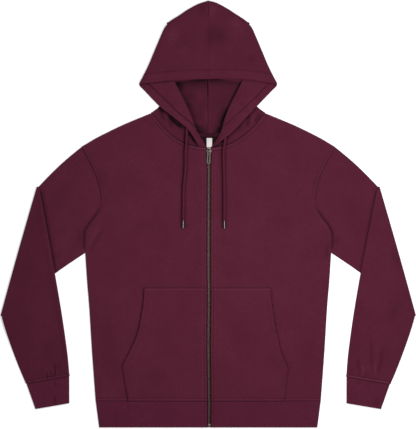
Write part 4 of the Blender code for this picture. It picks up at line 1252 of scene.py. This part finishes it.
    out = np.tile([1.0, 0, 0], (total, 1))
    strip = [
        (crownRows, crownTone),
        (roundFold(crownRows[:, -1], flapRows[: u + 1, 0], out[: u + 1]), None),
        (flapRows[: u + 1, :1], flapTone[: u + 1, :1]),
    ]
    body = [
        (flapRows, flapTone),
        (roundFold(flapRows[:, -1], middleRows[:, 0], -out), None),
        (middleRows, middleTone),
        (roundFold(middleRows[:, -1], bottomRows[:, 0], out), None),
        (bottomRows, bottomTone),
    ]
    over = [
        (crownRows[0][:, None], None),
        (roundFold(crownRows[0], bottomRows[0][::-1], topOut), None),
        (bottomRows[0][::-1][:, None], None),
    ]
    grids = []
    for part in (strip, body, over):
        net = np.concatenate([rows for rows, _ in part], axis=1)
        tone = np.concatenate([np.zeros(rows.shape[:2]) if t is None else t for rows, t in part], axis=1)
        net[..., 0] = np.maximum(net[..., 0], 0.03) * side
        grids.append((net, tone))
    piece = makeCloth(f"hood{name}", f"hood_{name.lower()}", "fleece", *grids, merge=0.002)
    for vertex in piece.data.vertices:
        if abs(vertex.co.x) < 0.25 * mm:
            vertex.co.x = 0  # the halves are sewn to each other here
    return piece


# pocket

pocket = {
    "topY": -161.8,
    "opening": {
        "Left": [(140.9, -161.8), (144.3, -204.6), (158.0, -268.4), (190.0, -335.0)],
        "Right": [(136.2, -161.8), (146.6, -241), (158.6, -294.8), (167.5, -321), (177.3, -341.0)],
    },
    "seamFoot": {"Left": (176.6, -411.4), "Right": (168.0, -411.4)},
    "above": 2.3,  # from the front's middle to the pocket's
}
pocketCreases = {
    "Left": [
        crease(-0.5, 16.0, (-40, -190), (-90, -250), (-120, -300), fade=0.5),
        crease(-0.5, 10.0, (-60, -380), (-110, -360), (-150, -370), fade=0.5),
        crease(-0.5, 4.0, (-180, -340), (-172, -366), (-168, -392)),
    ],
    "Right": [
        crease(-0.5, 16.0, (40, -220), (70, -280), (66, -340), fade=0.5),
        crease(-0.9, 2.4, (176, -344), (168, -356), (166, -372), fade=0.3),
        crease(0.7, 2.4, (172, -340), (165, -350), fade=0.3),
    ],
}


def pocketSeams(name, side):
    # their tones paint shade at the pocket's edges and grooves, and highlight on the stitched ridges
    opening = pocket["opening"][name]
    foot = mirrored([opening[-1], pocket["seamFoot"][name]], side)
    return {
        "top": dict(path=[(0, pocket["topY"]), (side * 200, pocket["topY"])], side=-side, wave=9.0,
                    band=(0.3, 5.2, 0.4, 0), lines=[(3.8, 1.3, 0.25, 0.35)], edge=(0.4, 1.0, -0.55),
                    stitches=[4.2], end=opening[0][0] / 200),
        "opening": dict(path=sideRun(opening, side, 40), side=-side, band=(0.3, 18.6, 0.6, 0),
                        lines=[(2.8, 1.4, 0.1, 0.15), (13.2, 1.0, -0.2, 0.12), (18.0, 1.0, -0.2, 0.15)],
                        edge=(0.6, 1.2, -0.75), stitches=[13.2, 18.0], pucker=0.15, wave=10.0),
        "foot": dict(path=foot, side=-side, band=(0.3, 3.4, 0.4, 0), edge=(0.9, 1.3, -0.7), stitches=[2.4]),
        "zip": zipSeam(side, pocket["topY"] + 5, cut["hemSeamY"] - 5),
        "hem": hemSeam(side),
    }


def makePocket(name, side):
    opening = pocket["opening"][name]
    foot = straight(opening[-1], pocket["seamFoot"][name], gradedShares(74, 3, 9))
    right = np.concatenate([curveAt(opening, gradedShares(178, 6, 6)), foot[1:]])
    left = np.stack([np.full(len(right), cut["zipEdge"]), right[:, 1]], axis=1)
    c = gradedShares(150, 14, 22)
    net = fillPatch(straight(left[0], right[0], c), right, straight(left[-1], right[-1], c), left)
    net = alongZip(net, side) * [side, 1]
    x, y = net[..., 0], net[..., 1]
    bump, bumpTone, seam, seamTone = relief(pocketCreases[name], pocketSeams(name, side).values(), x, y, 0.25)
    mouth, share, _ = nearLine(sideRun(opening, side, 40), x, y)
    gape = 1.3 * bell(mouth, 14) * fadeEnds(share, 0.3)
    z = frontHeightAt(x, y) + pocket["above"] + seam + gape + bump * fadeEnds(c, 0.08, 0.12)
    grid = (atHeight(net, z), bumpTone + seamTone)
    piece = makeCloth(f"pocket{name}", f"pocket_{name.lower()}", "fleece", grid, facesUp=False)
    return piece


# neck tape, label and zip tapes

trim = {
    "neckTapeWidth": 8.0,
    "neckTapeReach": 0.2,
    "neckTapeRise": 1.8,
    "label": {"x": 2.5, "width": 12.2, "top": 167.2, "bottom": 145.4, "z": 2.45},
}


def makeNeckTape():
    half = curveAt(cut["neckBack"], np.linspace(0, trim["neckTapeReach"], 30))
    middle = np.concatenate([half[:0:-1] * [-1, 1], half])
    across = np.linspace(1, -1, 9)
    net = np.stack([middle + [0, trim["neckTapeWidth"] / 2 * t + trim["neckTapeRise"]] for t in across])
    z = cloth["wall"] + cut["gap"] + cloth["tapeWall"] / 2 + 0.2 * (1 - across**2)[:, None]
    z = z + 0.15 * ripple(net[..., 0], 6.0)
    makeCloth("neckTape", "neck_tape", "tape", (atHeight(net, z), 0), facesUp=False)


def makeLabel():
    row = trim["label"]
    s, t = np.meshgrid(np.linspace(0, 1, 15), np.linspace(0, 1, 24))
    net = np.stack([row["x"] + row["width"] * (s - 0.5), mix(row["top"], row["bottom"], t)], axis=2)
    z = row["z"] + 0.9 * np.sin(math.pi * t) ** 2 + 0.25 * np.sin(math.pi * s) + 0.5 * t
    piece = makeCloth("neckLabel", "neck_label", "label", (atHeight(net, z), 0), facesUp=False)


# zip

zipper = {
    "chainHalf": 2.7,
    "baseZ": 2.5,
    "topZ": 5.2,
    "topY": 142.8,
    "bottomY": -460.3,
    "tapeWidth": 12.0,
    "tapeLength": 610.4,
    "toothPitch": 2.54,  # along one side, the other side's teeth stand between
    "sliderY": 137.5,
    "sliderLength": 9.0,
    "sliderWidth": 12.6,
    "plate": 1.5,
    "bridgeWire": 0.62,
    "axisZ": 7.95,
    "tabTilt": 0.03,
}


def boxPiece(name, low, high, rounded=0, segments=2):
    low, high = np.array(low, float), np.array(high, float)
    bpy.ops.mesh.primitive_cube_add(size=1, location=tuple((low + high) / 2 * mm))
    piece = bpy.context.object
    piece.name = name
    piece.scale = tuple((high - low) * mm)
    bpy.ops.object.transform_apply(location=True, rotation=True, scale=True)
    if rounded:
        roundEdges(piece, rounded, segments)
    return piece


def copyMany(name, piece, places):
    # one mesh of copies of a small piece: places are rows of x, y, z, turn in radians and mirror
    points = pointsOf(piece.data)
    faces = [tuple(p.vertices) for p in piece.data.polygons]
    allPoints, allFaces = [], []
    for k, (x, y, z, turn, mirror) in enumerate(places):
        c, s = math.cos(turn), math.sin(turn)
        px, py = points[:, 0] * mirror, points[:, 1]
        allPoints.append(np.stack([px * c - py * s + x, px * s + py * c + y, points[:, 2] + z], axis=1))
        allFaces += [tuple(v + k * len(points) for v in f[:: int(mirror)]) for f in faces]
    mesh = bpy.data.meshes.new(name)
    mesh.from_pydata(np.concatenate(allPoints).tolist(), [], allFaces)
    bpy.data.objects.remove(piece)
    made = bpy.data.objects.new(name, mesh)
    bpy.context.scene.collection.objects.link(made)
    return made


def makeTeeth():
    # one cast tooth: a block that clasps the tape's cord and narrows to a rounded head
    piece = boxPiece("tooth", (-0.45, -0.675, 0), (2.5, 0.675, 2.2))
    for vertex in piece.data.vertices:
        if vertex.co.x < 0:
            vertex.co.y *= 0.72
            vertex.co.z = 1.1 * mm + (vertex.co.z - 1.1 * mm) * 0.72
    roundEdges(piece, 0.28, 1)
    step = zipper["toothPitch"] / 2
    places = []
    for k in range(int((zipper["topY"] - 4 - zipper["bottomY"]) / step)):
        y = zipper["bottomY"] + 1 + k * step
        places.append((float(zipX(y)) * mm, y * mm, (zipper["baseZ"] + 0.35) * mm, 0, 1 if k % 2 else -1))
    dress(copyMany("zipTeeth", piece, places), toothBrass, "zip_chain")


def makeZipTapes():
    x = np.linspace(0.8, zipper["chainHalf"] + cut["gap"] + zipper["tapeWidth"], 14)
    y = zipper["topY"] - zipper["tapeLength"] * gradedShares(zipper["tapeLength"], 0, 0, 6.0)
    for name, side in sides.items():
        net = np.stack(np.meshgrid(x * side, y), axis=2)
        cordEdge = bell(np.abs(net[..., 0]) - 2.6, 0.8)
        net[..., 0] += zipX(net[..., 1])
        grid = (atHeight(net, zipper["baseZ"] + 0.3 + 0.315 * cordEdge), 0)
        makeCloth(f"zipTape{name}", f"zip_tape_{name.lower()}", "tape", grid, facesUp=False)


def makeBottomStop():
    aside = [float(zipX(zipper["bottomY"])), 0, 0]
    low, high = (np.array(corner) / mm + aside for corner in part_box("zip_bottom_stop"))
    piece = boxPiece("zipBottomBox", low, high, 0.9, 3)
    smoothByAngle(piece, 40)
    dress(piece, antiqueBrass, "zip_bottom_stop")


def makeSlider():
    # crown plate, wider at its shoulders, with a nose, side flanges and the bridge that holds the tab
    middle, z0 = zipper["sliderY"], zipper["topZ"] + cut["gap"]
    half, length = zipper["sliderWidth"] / 2, zipper["sliderLength"] / 2
    plate = boxPiece("plate", (-half, middle - length, z0), (half, middle + length, z0 + zipper["plate"]))
    editMesh(plate, lambda: bpy.ops.mesh.bisect(plane_co=(0, (middle + 0.8) * mm, 0), plane_no=(0, 1, 0)))
    for vertex in plate.data.vertices:
        if vertex.co.y < (middle - 1) * mm:
            vertex.co.x *= 0.64
        elif vertex.co.y > (middle + 3) * mm:
            vertex.co.x *= 0.78
    roundEdges(plate, 0.6, 3)
    noseY = middle + length + 0.5
    parts = [plate, boxPiece("nose", (-4.6, noseY, z0), (4.6, noseY + 3.9, z0 + 1.3), 0.5)]
    for x in (-3.1, 3.1):
        low, high = (x - 0.35, middle - 2.6, z0 - 1.6), (x + 0.35, middle + 4.0, z0 + 0.6)
        parts.append(boxPiece("flange", low, high, 0.3))
    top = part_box("zip_slider")[1].z / mm + 0.5
    bpy.ops.curve.primitive_bezier_curve_add()
    bridge = bpy.context.object
    ends = [(3.4, 3.6), (-3.6, -3.8)]  # of the wire, and of its handles
    for point, (end, handle) in zip(bridge.data.splines[0].bezier_points, ends):
        point.co = Vector((0, middle + end, z0 + 1.0)) * mm
        point.handle_left_type = point.handle_right_type = "FREE"
        point.handle_left = point.handle_right = Vector((0, middle + handle, top)) * mm
    bridge.data.dimensions = "3D"
    bridge.data.bevel_depth = zipper["bridgeWire"] * mm
    bridge.data.bevel_resolution = 3
    bridge.data.use_fill_caps = True
    bridge.data.resolution_u = 16
    bpy.ops.object.convert(target="MESH")
    bridge = bpy.context.object
    for vertex in bridge.data.vertices:
        vertex.co.x *= 2.2
    piece = joinPieces("zipSlider", [*parts, bridge])
    for vertex in piece.data.vertices:
        vertex.co.x += zipX(middle) * mm
    dress(piece, antiqueBrass, "zip_slider")
    smoothByAngle(piece)


def roundedOutline(halfTop, halfEnd, top, end, corner):
    points = []
    corners = [(halfTop, top, 90), (halfEnd, end, 0), (-halfEnd, end, -90), (-halfTop, top, -180)]
    for x, y, start in corners:
        cx = x - math.copysign(corner, x)
        cy = y + (corner if y == end else -corner)
        for k in range(7):
            turn = math.radians(start - 15 * k)
            points.append((cx + corner * math.cos(turn), cy + corner * math.sin(turn)))
    return points[::-1]


def flatPlate(name, outlines, low, high, edge, material):
    # a plate with a round edge from outlines in the tab's own plane, the first one outside
    data = bpy.data.curves.new(name, "CURVE")
    data.dimensions = "2D"
    data.fill_mode = "BOTH"
    data.extrude = ((high - low) / 2 - edge) * mm
    data.bevel_depth = edge * mm
    data.bevel_resolution = 2
    for outline in outlines:
        spline = data.splines.new("POLY")
        spline.points.add(len(outline) - 1)
        for point, (x, y) in zip(spline.points, outline):
            point.co = (x * mm, y * mm, 0, 1)
        spline.use_cyclic_u = True
    plate = bpy.data.objects.new(name, data)
    bpy.context.scene.collection.objects.link(plate)
    activate(plate)
    bpy.ops.object.convert(target="MESH")
    plate = bpy.context.object
    hinge = zipper["sliderY"]
    plate.location = Vector((zipX(hinge), hinge, zipper["axisZ"] + (low + high) / 2)) * mm
    bpy.ops.object.transform_apply(location=True, rotation=True, scale=True)
    for vertex in plate.data.vertices:
        vertex.co.x += zipper["tabTilt"] * (vertex.co.y - hinge * mm)
    editMesh(plate, lambda: bpy.ops.mesh.remove_doubles(threshold=0.01 * mm))
    plate.data.materials.clear()
    plate.data.materials.append(material)
    return plate


def makePullTab():
    # a dark oxidised plate with two holes, and a rubbed rim on top that leaves a channel between them
    low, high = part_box("zip_pull_tab")
    length = (high.y - low.y) / mm - 0.6

    def outer(inset):
        wide, end, tip = 4.3 - inset, -length + inset, 1.1 - inset / 2
        half = [(3.5 - inset, 0.6 - inset), (4.0 - inset, 0.1 - inset), (wide, end + 4.0),
                (wide - 0.3, end + 3.0), (tip + 1.0, end + 0.5), (tip, end)]
        return half + [(-x, y) for x, y in half[::-1]]

    eye = roundedOutline(1.75, 1.75, -0.6, -4.4, 0.4)
    upperHole = roundedOutline(1.35, 1.35, -7.2, -11.0, 1.2)
    lowerHole = roundedOutline(1.15, 1.15, -length + 8.8, -length + 2.9, 1.1)
    channel = roundedOutline(1.45, 1.3, -6.6, -length + 2.3, 1.2)
    base = flatPlate("zipPullTab", [outer(0), eye, upperHole, lowerHole], -0.6, 0.2, 0.15, oxideBrass)
    rim = flatPlate("tabRim", [outer(0.15), eye, channel], 0.2, 0.6, 0.12, rubbedBrass)
    tab = joinPieces("zipPullTab", [base, rim])
    smoothByAngle(tab)
    dress(tab, None, "zip_pull_tab", "pull_tab")


# drawstring

drawstring = {
    "diameter": 6.0,
    "clearance": 0.5,
    "collarRise": 0.6,
    "around": 20,
    "braidPitch": 7.0,  # along the cord, for one turn of a strand
    "strands": 5,
    "relief": 0.22,
    "agletLength": 18.0,
    "agletProfile": [  # distance from the cord's end, and radius
        (0.0, 2.1), (0.0, 2.45), (0.5, 2.5), (1.6, 2.5), (2.0, 2.2), (2.6, 2.2), (3.0, 2.5),
        (16.6, 2.5), (17.6, 2.3), (18.0, 1.8), (18.0, 0.02),
    ],
    "route": {
        "Left": [
            (-47.0, 188.5), (-47.4, 172), (-48.2, 155), (-49.7, 138), (-49.9, 104),
            (-52.4, 74), (-54.2, 54), (-54.3, 20), (-54.9, -14),
        ],
        "Right": [
            (38.8, 177), (37.2, 163), (34.8, 148), (33.7, 135),
            (34.0, 110), (34.9, 76), (35.4, 40), (35.5, -14),
        ],
    },
}


def cordPath(route, count):
    flat = curveAt(route, np.linspace(0, 1, count))
    onCollar = flat[:, 1] > cut["neckFrontY"]
    below = np.where(onCollar, levels[1] + drawstring["collarRise"], frontHeightAt(flat[:, 0], flat[:, 1]))
    above = cloth["wall"] / 2 + drawstring["clearance"] + drawstring["diameter"] / 2
    return atHeight(flat, smoothed(below, 9) + above)


def tubeNet(path, run, radius):
    # rings round a path that lies nearly flat; radius is one value for each ring and turn
    run = run / np.linalg.norm(run, axis=1, keepdims=True)
    side = np.cross(run, [0, 0, 1.0])
    side /= np.linalg.norm(side, axis=1, keepdims=True)
    up = np.cross(side, run)
    turns = np.linspace(0, 2 * math.pi, radius.shape[1])[None, :, None]
    return path[:, None] + radius[..., None] * (side[:, None] * np.cos(turns) + up[:, None] * np.sin(turns))


def makeTube(name, node, net, material):
    def close():
        bpy.ops.mesh.remove_doubles(threshold=0.001 * mm)
        bpy.ops.mesh.select_all(action="DESELECT")
        bpy.ops.mesh.select_non_manifold()
        bpy.ops.mesh.fill_holes(sides=0)
        bpy.ops.mesh.select_all(action="SELECT")
        bpy.ops.mesh.normals_make_consistent(inside=False)

    piece = clothGrid(name, net, 0)
    editMesh(piece, close)
    return dress(piece, material, node)


def makeDrawstring(name):
    path = cordPath(drawstring["route"][name], 330)
    length = np.linalg.norm(np.diff(path, axis=0), axis=1)
    run = np.concatenate([[0], np.cumsum(length)])[:, None]
    turns = np.linspace(0, 2 * math.pi, drawstring["around"] + 1)[None]
    twist = 2 * math.pi * run / drawstring["braidPitch"]
    strands = [np.abs(np.sin((drawstring["strands"] * turns + way * twist) / 2)) for way in (1, -1)]
    radius = drawstring["diameter"] / 2 - drawstring["relief"] * (1 - np.maximum(*strands)) * 3
    net = tubeNet(path, np.gradient(path, axis=0), radius)
    piece = makeTube(f"drawstring{name}", f"drawstring_{name.lower()}", net, braid)
    piece.data.shade_smooth()

    away = path[-1] - path[-4]
    away /= np.linalg.norm(away)
    at, radius = np.array(drawstring["agletProfile"]).T[..., None]
    axis = path[-1] + away * (cut["gap"] + at)
    net = tubeNet(axis, np.tile(away, (len(at), 1)), np.repeat(radius, 25, axis=1))
    aglet = makeTube(f"aglet{name}", f"aglet_{name.lower()}", net, nickel)
    smoothByAngle(aglet)
    print("drawstring", name, round(float(length.sum()), 1), "mm")


# stitching

stitch = {"length": 2.5, "pitch": 3.1, "width": 0.55, "height": 0.42, "sunk": 0.12}


def makeStitch():
    half, end, sunk = stitch["width"] / 2, stitch["length"] / 2, stitch["sunk"]
    piece = boxPiece("stitch", (-half, -end, -sunk), (half, end, stitch["height"] - sunk))
    for vertex in piece.data.vertices:
        if vertex.co.z > 0:
            vertex.co.x *= 0.6
            vertex.co.y *= 0.7
    return piece


def topOf(tree, x, y):
    # the highest surface over a point, in metres, or None
    hit = tree.ray_cast(Vector((x * mm, y * mm, 0.05)), Vector((0, 0, -1)))[0]
    return hit and hit.z


def stitchPlaces(row, distance, tree):
    # stitches at a distance to one side of a line, seated on the cloth below them
    line = np.array(row["path"], float)
    shares = lengthShares(line)
    length = np.linalg.norm(np.diff(line, axis=0), axis=1).sum()
    start, end = row.get("start", 0.0), row.get("end", 1.0)
    count = int(length * (end - start) / stitch["pitch"])

    def pointAt(share):
        return np.array([np.interp(share, shares, line[:, k]) for k in (0, 1)])

    places = []
    for k in range(count):
        share = start + (end - start) * (k + 0.5) / count
        dx, dy = pointAt(min(share + 0.01, 1)) - pointAt(max(share - 0.01, 0))
        size = math.hypot(dx, dy)
        if size == 0:
            break  # past the end of the line
        x, y = pointAt(share) + np.array([-dy, dx]) / size * distance * row["side"]
        z = topOf(tree, x, y)
        if z is not None:
            places.append((x * mm, y * mm, z, math.atan2(dy, dx) - math.pi / 2, 1))
    return places


def sew(name, piece, rows):
    faces = [tuple(p.vertices) for p in piece.data.polygons]
    tree = BVHTree.FromPolygons(pointsOf(piece.data).tolist(), faces)
    places = []
    for row in rows:
        for distance in row["stitches"]:
            places += stitchPlaces(row, distance, tree)
    dress(copyMany(name, makeStitch(), places), thread)
    print(name, len(places), "stitches")


makeStudio()
for name in sides:
    makeDrawstring(name)
makeBack()
hemBand = makeHemBand()
print("back and hem band are in")
fronts = {name: (makeFront(name, side), makePocket(name, side)) for name, side in sides.items()}
print("fronts and pockets are in")
arms = {name: (makeSleeve(name, side), makeCuff(name, side)) for name, side in sides.items()}
print("sleeves and cuffs are in")
hoods = {name: makeHoodHalf(name, side) for name, side in sides.items()}
makeNeckTape()
makeLabel()
print("hood, neck tape and label are in")
makeZipTapes()
makeTeeth()
makeBottomStop()
makeSlider()
makePullTab()
print("zip is in")

for name, side in sides.items():
    seams, pouch = frontSeams(name, side), pocketSeams(name, side)
    front, patch = fronts[name]
    (_, zipTop), (_, nextY) = seams["zip"]["path"][:2]
    rowEnd = (zipTop - pocket["topY"]) / (zipTop - nextY)  # past 1, so the row runs on under the pocket
    sew(f"stitchingFront{name}", front, [
        seams["neck"], {**seams["zip"], "start": 0.01, "end": rowEnd}, {**seams["armhole"], "end": 0.9},
        {**seams["hem"], "start": 0.7, "end": 0.94},
    ])
    sew(f"stitchingPocket{name}", patch, [
        pouch["top"], pouch["opening"], pouch["foot"], {**pouch["zip"], "start": 0.03, "end": 0.97},
        {**pouch["hem"], "start": 0.05, "end": 0.63},
    ])
    sew(f"stitchingBand{name}", hemBand, [zipSeam(side, cut["hemSeamY"] - 1, cut["hemY"] + 1)])
    row = dict(path=cuffLine(name, side), side=side, stitches=[6.0], start=0.05, end=0.95)
    sew(f"stitchingCuff{name}", arms[name][0], [row])
    sew(f"stitchingHood{name}", hoods[name], [
        dict(path=brimPath(name), side=side, stitches=[hood["brimHem"] - 0.5], end=0.94),
        dict(path=sideRun(hood["casingLine"][name], side), side=-side, stitches=[0.3], start=0.08),
    ])
